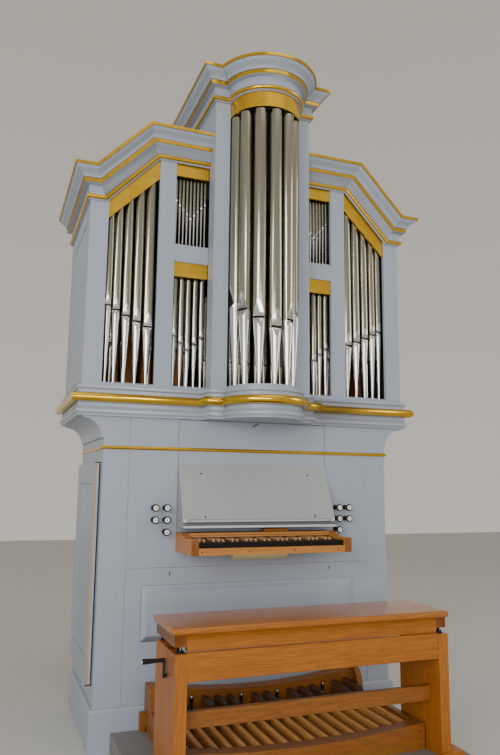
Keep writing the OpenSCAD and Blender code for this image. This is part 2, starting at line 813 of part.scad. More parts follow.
desk_t = 20;
desk_half = centre_half - desk_side;
desk_z = rail_z + desk_up;
desk_top_z = band_z - desk_top_gap;
ledge_t = 8;
lip_t = 16;
groove_d = 14;
module music_desk() color(grey) {
    foot_z = desk_z + lip_h + groove_h;
    foot_y = -desk_out + lip_t;
    slope = atan2(desk_top_z - foot_z, -foot_y);
    // sloping board and its end cheeks
    translate([-desk_half, 0, 0])
        rotate([90, 0, 90]) linear_extrude(2 * desk_half)
            polygon([[0, desk_top_z], [foot_y, foot_z], [foot_y + desk_t, foot_z],
                [0, desk_top_z - desk_t * tan(slope)]]);
    both() translate([-desk_half, 0, 0])
        rotate([90, 0, 90]) linear_extrude(desk_t)
            polygon([[0, desk_top_z], [foot_y, foot_z], [foot_y, desk_z], [0, desk_z]]);
    // ledge, lip and the back of the groove between them
    block(-desk_half, desk_half, -desk_out, 0, desk_z, desk_z + ledge_t);
    block(-desk_half, desk_half, -desk_out, foot_y, desk_z, desk_z + lip_h);
    block(-desk_half, desk_half, foot_y + groove_d, foot_y + groove_d + ledge_t + 4, desk_z, foot_z);
}

key_half = naturals * key_pitch / 2;
frame_half = key_half + cheek_w;
slip_t = 18;
nameboard_y = -manual_out + slip_t + key_len;
bed_t = 24;
key_z = rail_z + key_up;
slip_z = rail_z + 32;
step_y = nameboard_y - 30;
cheek_z = key_z + 13;
name_z = key_z + 34;
module key_frame() color(pale_oak) {
    // bed
    block(-frame_half, frame_half, -manual_out, 0, rail_z, rail_z + bed_t);
    // cheeks, stepped behind the keys
    both() {
        block(-frame_half, -key_half, -manual_out, step_y, rail_z + bed_t, cheek_z);
        block(-frame_half, -key_half, step_y, 0, rail_z + bed_t, name_z - 12);
    }
    // key slip, with room for the fronts of the keys
    block(-key_half, key_half, -manual_out, -manual_out + slip_t - 1, rail_z + bed_t, slip_z);
    // name board and the board over it
    block(-key_half, key_half, nameboard_y + 0.5, nameboard_y + 16, key_z + 14, name_z - 12);
    block(-frame_half, frame_half, nameboard_y + 8, 0, name_z - 12, name_z);
}

key_gap = 1;
module natural_keys() color(dark)
    for (i = [0:naturals - 1])
        translate([-key_half + i * key_pitch + key_gap / 2, 0, 0])
            block(0, key_pitch - key_gap, -manual_out + slip_t, 0, rail_z + bed_t, key_z);

// Naturals of an octave that have a sharp after them: C D F G A.
function has_sharp(i) = i < naturals - 1 && (i % 7 != 2) && (i % 7 != 6);
module sharp_keys() color([0.80, 0.66, 0.50])
    for (i = [0:naturals - 1]) if (has_sharp(i))
        translate([-key_half + (i + 1) * key_pitch, nameboard_y - sharp_len, key_z])
            rotate([90, 0, 90]) translate([0, 0, -5])
                linear_extrude(10) polygon([[0, 0], [sharp_len + 20, 0], [sharp_len + 20, 11], [6, 11]]);

// Brass trough lamp under the manual
lamp_r = 22;
lamp_half = 146;
lamp_y = -75;
module pedal_lamp() color([0.78, 0.66, 0.35]) {
    block(-lamp_half, lamp_half, lamp_y - lamp_r, lamp_y + lamp_r, rail_z - lamp_r, rail_z);
    intersection() {
        translate([-lamp_half, lamp_y, rail_z - lamp_r])
            rotate([0, 90, 0]) cylinder(r = lamp_r, h = 2 * lamp_half);
        block(-lamp_half - 1, lamp_half + 1, lamp_y - 2 * lamp_r, lamp_y + 2 * lamp_r,
            rail_z - 3 * lamp_r, rail_z - lamp_r);
    }
}

// Places of the ten knobs in the front elevation, from the top left.
knob_x = centre_half + knob_side;
knob_z = rail_z + knob_up;
knob_places = concat(
    [for (s = [-1, 1]) for (r = [0, 1]) for (c = [1, 0])
        [s * (knob_x + c * knob_pitch), knob_z - r * knob_pitch]],
    [[-knob_x, knob_z - 2 * knob_pitch], [knob_x, knob_z - 2 * knob_pitch]]);
stem_in = 150;
module stop_knob(i) {
    k = knob_places[i];
    translate([k[0], 0, k[1]]) rotate([90, 0, 0]) {
        // turned knob: rosette at the face, waist, head with a pale face plate
        color(dark) rotate_extrude()
            polygon([[0, 0.5], [knob_d * 0.36, 0.5], [knob_d * 0.36, 5], [knob_d * 0.24, 10],
                [knob_d * 0.20, 18], [knob_d * 0.22, knob_out - 26], [knob_d * 0.40, knob_out - 16],
                [knob_d * 0.5, knob_out - 9], [knob_d * 0.5, knob_out - 4],
                [knob_d * 0.43, knob_out - 1.5], [knob_d * 0.35, knob_out - 1.5],
                [knob_d * 0.35, knob_out - 3.5], [0, knob_out - 3.5]]);
        color([0.93, 0.92, 0.88]) translate([0, 0, knob_out - 3.5]) cylinder(d = knob_d * 0.7, h = 3.5);
        color(dark) translate([0, 0, -stem_in]) cylinder(d = stem_d, h = stem_in + 1);
    }
}

// The pedalboard stands on the platform against the plinth.
ped_y1 = -plinth_out;
ped_y0 = ped_y1 - pedal_d;
ped_in = (pedals - 1) * pedal_pitch / 2 + bar_w / 2 + pedal_play;
pedal_half = ped_in + pedal_cheek_t;
front_r = ped_in * ped_in / (2 * pedal_sag);
rear_r = ped_in * ped_in / (2 * rear_sag);
function hollow(x) = pedal_sag * (x / ped_in) * (x / ped_in);
rear_y0 = ped_y1 - rear_d;
toe_kick = 30;
stop_w = 25;

module pedal_frame() color(oak) {
    z0 = socle_h;
    fall = pedal_rear_h - pedal_front_h;
    // cheeks that fall in a round from the rear box to the height of the front one
    both() translate([-pedal_half, 0, 0])
        rotate([90, 0, 90]) linear_extrude(pedal_cheek_t)
            polygon(concat([[ped_y1, z0 + toe_kick], [ped_y1, z0 + pedal_rear_h]],
                [for (i = [0:8]) [rear_y0 - 0.55 * fall * sin(i * 11.25),
                    z0 + pedal_front_h + fall * cos(i * 11.25)]],
                [[ped_y0, z0 + pedal_front_h], [ped_y0, z0],
                    [ped_y1 - 2 * toe_kick, z0], [ped_y1 - 2 * toe_kick, z0 + toe_kick]]));
    // front and rear boxes, hollowed along their tops
    difference() {
        block(-ped_in, ped_in, ped_y0, ped_y0 + front_d, z0, z0 + pedal_front_h);
        translate([0, ped_y0 - 1, z0 + pedal_front_h - pedal_sag + front_r])
            rotate([-90, 0, 0]) cylinder(r = front_r, h = front_d + 2, $fn = 360);
    }
    difference() {
        block(-ped_in, ped_in, rear_y0, ped_y1, z0 + toe_kick, z0 + pedal_rear_h);
        translate([0, rear_y0 - 1, z0 + pedal_rear_h - rear_sag + rear_r])
            rotate([-90, 0, 0]) cylinder(r = rear_r, h = rear_d + 2, $fn = 360);
    }
    // stop block beside the left cheek
    block(-pedal_half - stop_w, -pedal_half, ped_y1 - 1.5 * stop_w, ped_y1, z0, z0 + 3.2 * stop_w);
}

function pedal_x(i) = (i - (pedals - 1) / 2) * pedal_pitch;
bar_down = 8;
bar_z = socle_h + pedal_front_h - pedal_sag - bar_down;
module pedal_naturals() color(pale_oak)
    for (i = [0:pedals - 1]) let (x = pedal_x(i))
        translate([x, rear_y0, bar_z + hollow(x) - bar_h])
            rotate([90, 0, 0]) linear_extrude(rear_y0 - ped_y0 - front_d) union() {
                translate([-bar_w / 2, 0]) square([bar_w, bar_h - bar_w / 2]);
                translate([0, bar_h - bar_w / 2]) circle(d = bar_w);
            }

// Naturals of the pedal that have a sharp after them.
function pedal_sharp(i) = i < pedals - 1 && (i % 7 != 2) && (i % 7 != 6);
pedal_sharp_w = 23;
pedal_sharp_up = 65;
pedal_sharp_nose = 35;
module pedal_sharps() color(dark)
    for (i = [0:pedals - 1]) if (pedal_sharp(i)) let (x = pedal_x(i + 0.5), h = bar_h + pedal_sharp_up)
        translate([x - pedal_sharp_w / 2, 0, bar_z - bar_h + hollow(x)])
            rotate([90, 0, 90]) linear_extrude(pedal_sharp_w)
                polygon([[rear_y0, 0], [rear_y0, h], [rear_y0 - pedal_sharp_l + pedal_sharp_nose, h],
                    [rear_y0 - pedal_sharp_l, h - pedal_sharp_nose / 2], [rear_y0 - pedal_sharp_l, 0]]);

// Flat tongues with round tops between the pedals that have no sharp.
peg_w = 15;
peg_t = 8;
peg_up = 59;
module pedal_pegs() color(dark)
    for (i = [0:pedals - 2]) if (!pedal_sharp(i)) let (x = pedal_x(i + 0.5), z = bar_z + hollow(x))
        translate([x, rear_y0, 0]) rotate([90, 0, 0]) linear_extrude(peg_t) union() {
            translate([-peg_w / 2, z - bar_h]) square([peg_w, bar_h + peg_up]);
            translate([0, z + peg_up]) circle(d = peg_w);
        }

// A side door of the lower case, laid on the left wall and turning on pins at its front edge.
door_x0 = -low - door_gap - door_t;
door_x1 = -low - door_gap;
pin_x = (door_x0 + door_x1) / 2;
pin_y = door_y0 + 5;
pin_d = 5;
pin_l = 20;
pin_gap = 0.4;
module side_door() color(grey) {
    difference() {
        block(door_x0, door_x1, door_y0, door_y1, door_z0, door_z1);
        block(door_x0 - 1, door_x0 + sunk, door_y0 + side_frame_w, door_y1 - side_frame_w,
            door_z0 + side_frame_w, door_z1 - side_frame_w);
        for (z = [door_z0 - 1, door_z1 - pin_l - 1])
            translate([pin_x, pin_y, z]) cylinder(d = pin_d + 2 * pin_gap, h = pin_l + 2);
    }
}

tongue_t = 5;
tongue_d = 24;
tongue_gap = 1;
module door_pivots() color([0.25, 0.25, 0.26])
    both() {
        block(door_x0, -low, door_y0, door_y0 + tongue_d, door_z0 - tongue_gap - tongue_t,
            door_z0 - tongue_gap);
        translate([pin_x, pin_y, door_z0 - tongue_gap - 1]) cylinder(d = pin_d, h = pin_l + tongue_gap);
        block(door_x0, -low, door_y0, door_y0 + tongue_d, door_z1 + tongue_gap,
            door_z1 + tongue_gap + tongue_t);
        translate([pin_x, pin_y, door_z1 - pin_l]) cylinder(d = pin_d, h = pin_l + tongue_gap + 1);
    }

bench_in = 20;
bench_back = bench_front - seat_d + bench_in;
end_x0 = pedal_half + bench_gap;
end_x1 = end_x0 + bench_end_t;
seat_half = end_x1 + seat_over;
rod_x = (end_x0 + end_x1) / 2;
rod_in = 32;
rod_ys = [-bench_front + rod_in, -bench_back - rod_in];
rod_down = 150;
bore_down = 260;
foot_h = 22;
foot_x = 55;
foot_y = 15;
foot_x1 = end_x1 + foot_x;
shaft_back = 120;
shaft_down = 98;
shaft_y = -bench_front + shaft_back;
shaft_z = bench_end_z - shaft_down;
shaft_d = 12;
shaft_gap = 0.4;
slot_w = 14;
slot_d = 12;
module bench_ends() color(oak) {
    difference() {
        both() difference() {
            block(-end_x1, -end_x0, -bench_front, -bench_back, socle_h + foot_h, bench_end_z);
            for (y = rod_ys)
                translate([-rod_x, y, bench_end_z - bore_down])
                    cylinder(d = rod_d + 2 * rod_gap, h = bore_down + 1);
        }
        translate([-end_x1 - 1, shaft_y, shaft_z])
            rotate([0, 90, 0]) cylinder(d = shaft_d + 2 * shaft_gap, h = bench_end_t + 2);
        // slot over the crank in the left end
        block(-end_x1 - 1, -end_x1 + slot_d, shaft_y - slot_w / 2, shaft_y + slot_w / 2, shaft_z,
            bench_end_z + 1);
    }
    both() block(-foot_x1, -end_x0, -bench_front - foot_y, -bench_back + foot_y, socle_h, socle_h + foot_h);
}

module bench_rails() color(oak) {
    // upper front board and stretcher between the ends
    block(-end_x0, end_x0, -bench_front, -bench_front + apron_t, board_top - bench_board_h, board_top);
    block(-end_x0, end_x0, stretcher_y, stretcher_y + stretcher_t, stretcher_z, stretcher_z + stretcher_h);
}

apron_t = 22;
board_top = bench_end_z + 4;
stretcher_z = socle_h + stretcher_up;
stretcher_in = 62;
stretcher_y = -bench_front + stretcher_in;
stretcher_t = 26;
apron_z = board_top + 6;
apron_corner_z = bench_end_z + 24;
apron_y = -bench_front + 15;
seat_y0 = -bench_front;
seat_y1 = -bench_front + seat_d;
module bench_seat() {
    color(oak) {
        nose = seat_t / 2;
        block(-seat_half + nose, seat_half - nose, seat_y0 + nose, seat_y1 - nose, seat_z - seat_t, seat_z);
        for (y = [seat_y0 + nose, seat_y1 - nose])
            translate([-seat_half + nose, y, seat_z - nose])
                rotate([0, 90, 0]) cylinder(r = nose, h = 2 * (seat_half - nose));
        for (x = [-seat_half + nose, seat_half - nose]) {
            translate([x, seat_y1 - nose, seat_z - nose])
                rotate([90, 0, 0]) cylinder(r = nose, h = seat_d - 2 * nose);
            for (y = [seat_y0 + nose, seat_y1 - nose])
                translate([x, y, seat_z - nose]) sphere(r = nose);
        }
        // apron: front and back boards, ends and corner blocks
        for (y = [apron_y, -bench_back - apron_t])
            block(-end_x0, end_x0, y, y + apron_t, apron_z, seat_z - seat_t);
        both() block(-end_x1, -end_x0, apron_y, -bench_back, apron_corner_z, seat_z - seat_t);
    }
    color(chrome) both() for (y = rod_ys)
        translate([-rod_x, y, bench_end_z - rod_down])
            cylinder(d = rod_d, h = apron_corner_z - bench_end_z + rod_down + 1);
}

arm_t = 8;
arm_gap = 8;
arm_x = -end_x1 - arm_gap - arm_t;
arm_len = 56;
arm_w = 16;
grip_l = 84;
grip_d = 15;
module bench_crank() {
    color(chrome) {
        translate([arm_x, shaft_y, shaft_z])
            rotate([0, 90, 0]) cylinder(d = shaft_d, h = arm_t + arm_gap + bench_end_t);
        translate([arm_x, 0, 0]) rotate([90, 0, 90]) linear_extrude(arm_t)
            union() {
                translate([shaft_y, shaft_z]) circle(d = arm_w + 4);
                translate([shaft_y, shaft_z + arm_len]) circle(d = arm_w);
                translate([shaft_y - arm_w / 2, shaft_z]) square([arm_w, arm_len]);
            }
    }
    color(dark) translate([arm_x - grip_l, shaft_y, shaft_z + arm_len])
        rotate([0, 90, 0]) cylinder(d = grip_d, h = grip_l);
}

platform();
plinth();
lower_sides();
back_boards();
lower_front_frame();
bottom_board();
access_panel();
knob_panels();
centre_panel();
side_coves();
waist_board();
thin_gold_band();
belt_moulding();
gold_roll();
upper_front_frame();
upper_sides();
wing_roofs();
wing_cornices();
cornice_gilding();
pipe_shades();
tower_base();
tower_posts();
tower_box();
tower_cornice();
toe_boards();
windchest();
tower_pipes();
outer_pipes();
lower_inner_pipes();
upper_inner_pipes();
rear_metal_pipes();
rear_wood_pipes();
music_desk();
key_frame();
natural_keys();
sharp_keys();
pedal_lamp();
stop_knob(0);  // stop_knob_1
stop_knob(1);  // stop_knob_2
stop_knob(2);  // stop_knob_3
stop_knob(3);  // stop_knob_4
stop_knob(4);  // stop_knob_5
stop_knob(5);  // stop_knob_6
stop_knob(6);  // stop_knob_7
stop_knob(7);  // stop_knob_8
stop_knob(8);  // stop_knob_9
stop_knob(9);  // stop_knob_10
pedal_frame();
pedal_naturals();
pedal_sharps();
pedal_pegs();
side_door();  // side_door_left
mirror([1, 0, 0]) side_door();  // side_door_right
door_pivots();
bench_ends();
bench_rails();
bench_seat();
bench_crank();
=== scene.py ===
"""Looks of a small church pipe organ: painted and gilded case, tin pipes, oak console and bench."""

import json
import math

import bmesh
import bpy
from mathutils import Matrix, Vector


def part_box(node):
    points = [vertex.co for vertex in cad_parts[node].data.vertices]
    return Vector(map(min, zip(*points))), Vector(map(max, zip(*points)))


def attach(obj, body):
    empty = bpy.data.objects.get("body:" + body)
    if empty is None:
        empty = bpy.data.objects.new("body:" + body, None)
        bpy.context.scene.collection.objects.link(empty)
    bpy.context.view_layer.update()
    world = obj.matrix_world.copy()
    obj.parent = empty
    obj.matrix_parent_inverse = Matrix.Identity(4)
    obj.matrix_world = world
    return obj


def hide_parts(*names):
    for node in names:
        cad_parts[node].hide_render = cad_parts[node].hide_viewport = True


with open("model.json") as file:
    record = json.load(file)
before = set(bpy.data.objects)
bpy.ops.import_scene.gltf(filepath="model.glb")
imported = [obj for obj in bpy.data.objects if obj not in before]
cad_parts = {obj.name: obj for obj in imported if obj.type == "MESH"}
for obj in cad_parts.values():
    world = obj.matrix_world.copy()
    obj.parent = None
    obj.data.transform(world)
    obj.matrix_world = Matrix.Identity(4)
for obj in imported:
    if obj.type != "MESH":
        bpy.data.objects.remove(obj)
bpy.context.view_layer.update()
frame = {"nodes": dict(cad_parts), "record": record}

MM = 0.001
HAIR = 0.0001
FRONT = Vector((0, -1, 0))
ORGAN = "organ"
BODY_OF = {n: b for b, nodes in frame["record"]["behaviour"]["bodies"].items() for n in nodes}
SLOT_OF = {s["node"]: s["material_slot"] for s in frame["record"]["subparts"]}

# Camera at the photograph's place: focal length in picture heights, place in metres, turns in radians
FOCAL = 680.95 / 755
CAMERA_AT = (-1.2998, -3.3316, 1.2072)
YAW, PITCH, ROLL = 0.3643, 0.1560, 0.0103
SENSOR = 36


def make_camera():
    """The camera at the fitted place, looking along the fitted turns."""
    data = bpy.data.cameras.new("camera")
    data.sensor_fit = "AUTO"
    data.sensor_width = SENSOR
    data.lens = FOCAL * SENSOR
    camera = bpy.data.objects.new("camera", data)
    bpy.context.scene.collection.objects.link(camera)
    turn = Matrix.Rotation(-YAW, 3, "Z") @ Matrix.Rotation(math.pi / 2 + PITCH, 3, "X")
    turn = turn @ Matrix.Rotation(ROLL, 3, "Z")
    camera.matrix_world = Matrix.Translation(CAMERA_AT) @ turn.to_4x4()
    bpy.context.scene.camera = camera


# Node trees

def put(tree, kind, values=None, **settings):
    """Adds a node; values are its inputs by name or number, sockets among them are linked."""
    node = tree.nodes.new(kind)
    for key, value in settings.items():
        setattr(node, key, value)
    for key, value in (values or {}).items():
        if isinstance(value, bpy.types.NodeSocket):
            tree.links.new(value, node.inputs[key])
        else:
            node.inputs[key].default_value = value
    return node


def math_node(tree, operation, a, b=0.0):
    return put(tree, "ShaderNodeMath", {0: a, 1: b}, operation=operation).outputs[0]


def blend_colours(tree, share, a, b):
    return put(tree, "ShaderNodeMix", {"Factor": share, 6: a, 7: b}, data_type="RGBA").outputs[2]


def ranged(tree, value, low, high, to_low, to_high):
    return put(tree, "ShaderNodeMapRange", {"Value": value, "From Min": low, "From Max": high,
                                            "To Min": to_low, "To Max": to_high}).outputs[0]


def new_group(name, inputs, outputs):
    """A shader group with named sockets; returns the group, its input node and its output node."""
    group = bpy.data.node_groups.new(name, "ShaderNodeTree")
    for socket, kind, value in inputs:
        made = group.interface.new_socket(socket, in_out="INPUT", socket_type=kind)
        if value is not None:
            made.default_value = value
    for socket, kind in outputs:
        group.interface.new_socket(socket, in_out="OUTPUT", socket_type=kind)
    return group, group.nodes.new("NodeGroupInput"), group.nodes.new("NodeGroupOutput")


def make_grain_group():
    """Wood figure along a stretched vector: broad bands, fine fibres and open pores."""
    group, given, out = new_group(
        "wood_grain",
        [("Vector", "NodeSocketVector", None), ("Band Scale", "NodeSocketFloat", 3.0),
         ("Fibre Scale", "NodeSocketFloat", 24.0)],
        [("Figure", "NodeSocketFloat"), ("Fibre", "NodeSocketFloat"), ("Pores", "NodeSocketFloat")])
    band = put(group, "ShaderNodeTexNoise", {"Vector": given.outputs[0], "Scale": given.outputs[1],
                                             "Detail": 4.0, "Roughness": 0.5, "Distortion": 0.7})
    waves = math_node(group, "FRACT", math_node(group, "MULTIPLY", band.outputs[0], 7.0))
    fibre = put(group, "ShaderNodeTexNoise", {"Vector": given.outputs[0], "Scale": given.outputs[2],
                                              "Detail": 6.0, "Roughness": 0.62})
    pores = put(group, "ShaderNodeTexNoise", {"Vector": given.outputs[0], "Detail": 2.0,
                                              "Scale": math_node(group, "MULTIPLY", given.outputs[2], 3.0)})
    figure = math_node(group, "ADD", math_node(group, "MULTIPLY", waves, 0.45),
                       math_node(group, "MULTIPLY", band.outputs[0], 0.55))
    group.links.new(figure, out.inputs["Figure"])
    group.links.new(fibre.outputs[0], out.inputs["Fibre"])
    group.links.new(ranged(group, pores.outputs[0], 0.30, 0.42, 1.0, 0.0), out.inputs["Pores"])
    return group


def make_leaf_group():
    """Gold leaf laid in overlapping squares: a tone for each square and its lapped edges."""
    group, given, out = new_group(
        "leaf_squares", [("Vector", "NodeSocketVector", None), ("Square", "NodeSocketFloat", 12.0)],
        [("Tone", "NodeSocketFloat"), ("Lap", "NodeSocketFloat")])
    split = put(group, "ShaderNodeSeparateXYZ", {0: given.outputs[0]})
    along = math_node(group, "ADD", split.outputs[0], split.outputs[1])
    flat = put(group, "ShaderNodeCombineXYZ", {0: along, 1: split.outputs[2]})
    cells = put(group, "ShaderNodeTexVoronoi", {"Vector": flat.outputs[0], "Scale": given.outputs[1],
                                                "Randomness": 0.35}, distance="CHEBYCHEV")
    edge = put(group, "ShaderNodeTexVoronoi", {"Vector": flat.outputs[0], "Scale": given.outputs[1],
                                               "Randomness": 0.35}, feature="DISTANCE_TO_EDGE")
    tone = put(group, "ShaderNodeSeparateXYZ", {0: cells.outputs["Color"]})
    group.links.new(tone.outputs[0], out.inputs["Tone"])
    group.links.new(ranged(group, edge.outputs["Distance"], 0.0, 0.03, 1.0, 0.0), out.inputs["Lap"])
    return group


def make_film_group():
    """Brushed or rolled film: slow mottling of its tone and a fine orange-peel height."""
    group, given, out = new_group(
        "film", [("Vector", "NodeSocketVector", None), ("Mottle Scale", "NodeSocketFloat", 2.0),
                 ("Peel Scale", "NodeSocketFloat", 120.0)],
        [("Mottle", "NodeSocketFloat"), ("Peel", "NodeSocketFloat")])
    slow = put(group, "ShaderNodeTexNoise", {"Vector": given.outputs[0], "Scale": given.outputs[1],
                                             "Detail": 4.0, "Roughness": 0.6})
    peel = put(group, "ShaderNodeTexNoise", {"Vector": given.outputs[0], "Scale": given.outputs[2],
                                             "Detail": 3.0})
    group.links.new(slow.outputs[0], out.inputs["Mottle"])
    group.links.new(peel.outputs[0], out.inputs["Peel"])
    return group


def make_dust_group():
    """Dust that settles on what faces up."""
    group, given, out = new_group(
        "settled_dust", [("Vector", "NodeSocketVector", None), ("Amount", "NodeSocketFloat", 0.3)],
        [("Mask", "NodeSocketFloat")])
    facing = put(group, "ShaderNodeSeparateXYZ", {0: put(group, "ShaderNodeNewGeometry").outputs["Normal"]})
    upward = ranged(group, facing.outputs[2], 0.55, 0.95, 0.0, 1.0)
    patch = put(group, "ShaderNodeTexNoise", {"Vector": given.outputs[0], "Scale": 9.0, "Detail": 5.0})
    spread = math_node(group, "MULTIPLY", upward, ranged(group, patch.outputs[0], 0.3, 0.7, 0.5, 1.0))
    group.links.new(math_node(group, "MULTIPLY", spread, given.outputs[1]), out.inputs["Mask"])
    return group


GRAIN = make_grain_group()
LEAF = make_leaf_group()
FILM = make_film_group()
DUST = make_dust_group()


def place_group(tree, group, **values):
    """One use of a shader group with its own values or links; returns its outputs."""
    node = tree.nodes.new("ShaderNodeGroup")
    node.node_tree = group
    for key, value in values.items():
        name = key.replace("_", " ")
        if isinstance(value, bpy.types.NodeSocket):
            tree.links.new(value, node.inputs[name])
        else:
            node.inputs[name].default_value = value
    return node.outputs


def new_material(name, **shader):
    """A material with its Principled shader's constants set; returns it, its tree and the shader."""
    material = bpy.data.materials.new(name)
    material.use_nodes = True
    tree = material.node_tree
    principled = tree.nodes["Principled BSDF"]
    for key, value in shader.items():
        socket = principled.inputs[key.replace("_", " ")]
        socket.default_value = (*value, 1) if isinstance(value, tuple) else value
    return material, tree, principled


def object_vector(tree, stretch=(1, 1, 1)):
    """A place on the object in metres, stretched along its axes."""
    place = put(tree, "ShaderNodeTexCoord").outputs["Object"]
    return put(tree, "ShaderNodeMapping", {"Vector": place, "Scale": stretch}).outputs[0]


def bump(tree, principled, height, distance):
    """Relief as deep as distance, from a height between 0 and 1."""
    node = put(tree, "ShaderNodeBump", {"Height": height, "Distance": distance, "Strength": 1.0})
    tree.links.new(node.outputs[0], principled.inputs["Normal"])


def rough_by(tree, principled, mask, low, high, smooth, rough):
    """Roughness from smooth to rough as the mask goes from low to high."""
    tree.links.new(ranged(tree, mask, low, high, smooth, rough), principled.inputs["Roughness"])


def colour_by(tree, principled, tone):
    tree.links.new(tone, principled.inputs["Base Color"])


# Finishes

def case_paint(name="case_paint", light=(0.374, 0.420, 0.505), deep=(0.344, 0.392, 0.478), gloss=0.36):
    """Pale blue-grey satin paint over planed boards."""
    material, tree, principled = new_material(name)
    film = place_group(tree, FILM, Vector=object_vector(tree), Mottle_Scale=1.7, Peel_Scale=260.0)
    board = place_group(tree, GRAIN, Vector=object_vector(tree, (16, 16, 0.9)), Band_Scale=2.0,
                        Fibre_Scale=16.0)
    tone = blend_colours(tree, film["Mottle"], (*deep, 1), (*light, 1))
    tone = blend_colours(tree, ranged(tree, board["Fibre"], 0.3, 0.7, 0.0, 0.10), tone, (*deep, 1))
    dust = place_group(tree, DUST, Vector=object_vector(tree), Amount=0.25)
    tone = blend_colours(tree, dust["Mask"], tone, (0.46, 0.44, 0.40, 1))
    colour_by(tree, principled, tone)
    rough_by(tree, principled, film["Mottle"], 0.3, 0.7, gloss - 0.05, gloss + 0.06)
    height = math_node(tree, "ADD", math_node(tree, "MULTIPLY", board["Fibre"], 0.6), film["Peel"])
    bump(tree, principled, height, 0.12 * MM)
    return material


def gold_leaf(name="gold_leaf", rough=0.24, worn_from=0.78):
    """Leaf laid over bole, more or less burnished."""
    material, tree, principled = new_material(name, Metallic=1.0)
    leaf = place_group(tree, LEAF, Vector=object_vector(tree), Square=12.0)
    film = place_group(tree, FILM, Vector=object_vector(tree), Mottle_Scale=24.0, Peel_Scale=420.0)
    tone = blend_colours(tree, leaf["Tone"], (0.745, 0.440, 0.036, 1), (0.845, 0.515, 0.058, 1))
    tone = blend_colours(tree, math_node(tree, "MULTIPLY", leaf["Lap"], 0.35), tone, (0.55, 0.25, 0.03, 1))
    worn = ranged(tree, film["Mottle"], worn_from, worn_from + 0.1, 0.0, 0.4)
    tone = blend_colours(tree, worn, tone, (0.45, 0.17, 0.04, 1))
    colour_by(tree, principled, tone)
    rough_by(tree, principled, film["Mottle"], 0.25, 0.75, rough, rough + 0.14)
    bump(tree, principled, math_node(tree, "ADD", film["Mottle"], film["Peel"]), 0.16 * MM)
    return material


def pipe_tin(name, deep, pale, rough):
    """Planed and polished tin alloy, streaked along the pipe."""
    material, tree, principled = new_material(name, Metallic=1.0, Specular_IOR_Level=0.5)
    streak = place_group(tree, GRAIN, Vector=object_vector(tree, (30, 30, 0.5)), Band_Scale=1.5,
                         Fibre_Scale=9.0)
    film = place_group(tree, FILM, Vector=object_vector(tree), Mottle_Scale=14.0, Peel_Scale=300.0)
    tone = blend_colours(tree, streak["Fibre"], (*deep, 1), (*pale, 1))
    stain = ranged(tree, film["Mottle"], 0.64, 0.84, 0.0, 0.3)
    tone = blend_colours(tree, stain, tone, tuple(0.8 * c for c in deep) + (1,))
    colour_by(tree, principled, tone)
    rough_by(tree, principled, streak["Fibre"], 0.3, 0.7, rough, rough + 0.05)
    bump(tree, principled, streak["Fibre"], 0.03 * MM)
    return material


# Stretch of the grain for wood that runs along an axis
AXES = {"x": (0.7, 13, 13), "y": (13, 0.7, 13), "z": (13, 13, 0.7)}


def varnished_wood(name, axis, pale, deep, dark, gloss=0.36, coat=0.08, fibre=13.0, shine=0.28):
    """Wood with its grain along one axis, under clear varnish."""
    material, tree, principled = new_material(name, Coat_Weight=coat, Coat_Roughness=0.14,
                                              Specular_IOR_Level=shine)
    grain = place_group(tree, GRAIN, Vector=object_vector(tree, AXES[axis]), Band_Scale=0.75,
                        Fibre_Scale=fibre)
    film = place_group(tree, FILM, Vector=object_vector(tree), Mottle_Scale=2.6, Peel_Scale=180.0)
    tone = blend_colours(tree, grain["Figure"], (*deep, 1), (*pale, 1))
    tone = blend_colours(tree, ranged(tree, grain["Fibre"], 0.38, 0.62, 0.45, 0.0), tone, (*dark, 1))
    tone = blend_colours(tree, math_node(tree, "MULTIPLY", grain["Pores"], 0.55), tone, (*dark, 1))
    tone = blend_colours(tree, ranged(tree, film["Mottle"], 0.3, 0.7, 0.0, 0.22), tone, (*deep, 1))
    colour_by(tree, principled, tone)
    rough_by(tree, principled, grain["Fibre"], 0.3, 0.7, gloss + 0.10, gloss)
    height = math_node(tree, "SUBTRACT", math_node(tree, "MULTIPLY", grain["Fibre"], 0.5), grain["Pores"])
    bump(tree, principled, height, 0.18 * MM)
    return material


# Woods: the pale and the deep of the figure, and the dark of the pores
OAK = dict(pale=(0.53, 0.190, 0.027), deep=(0.38, 0.120, 0.013), dark=(0.15, 0.042, 0.006))
END_OAK = dict(pale=(0.34, 0.115, 0.024), deep=(0.23, 0.070, 0.013), dark=(0.10, 0.030, 0.006))
MANUAL_OAK = dict(pale=(0.66, 0.300, 0.080), deep=(0.50, 0.205, 0.044), dark=(0.24, 0.088, 0.020))
BOARD_OAK = dict(pale=(0.37, 0.138, 0.024), deep=(0.25, 0.084, 0.012), dark=(0.11, 0.033, 0.006))
# The pedals' oak is lightened against the bench's shade over it, as painted light; the flanks take a darker
# copy, as painted shade
PEDAL_OAK_LIT = dict(pale=(0.90, 0.460, 0.140), deep=(0.70, 0.320, 0.085), dark=(0.34, 0.130, 0.034))
PEDAL_FLANK_SHADED = dict(pale=(0.72, 0.350, 0.100), deep=(0.55, 0.245, 0.062), dark=(0.27, 0.100, 0.024))
BARE_OAK = dict(pale=(0.66, 0.42, 0.27), deep=(0.52, 0.30, 0.18), dark=(0.30, 0.15, 0.08))
BLACKWOOD = dict(pale=(0.022, 0.018, 0.016), deep=(0.012, 0.010, 0.010), dark=(0.004, 0.004, 0.004))
SHARP_SIDE = dict(pale=(0.24, 0.105, 0.045), deep=(0.15, 0.060, 0.026), dark=(0.06, 0.024, 0.012))
# A near-black board for the case's inside faces: painted shade
SHADED_BOARD = dict(pale=(0.040, 0.040, 0.046), deep=(0.024, 0.025, 0.031), dark=(0.010, 0.010, 0.012))
PINE = dict(pale=(0.42, 0.25, 0.11), deep=(0.30, 0.16, 0.065), dark=(0.18, 0.09, 0.04))
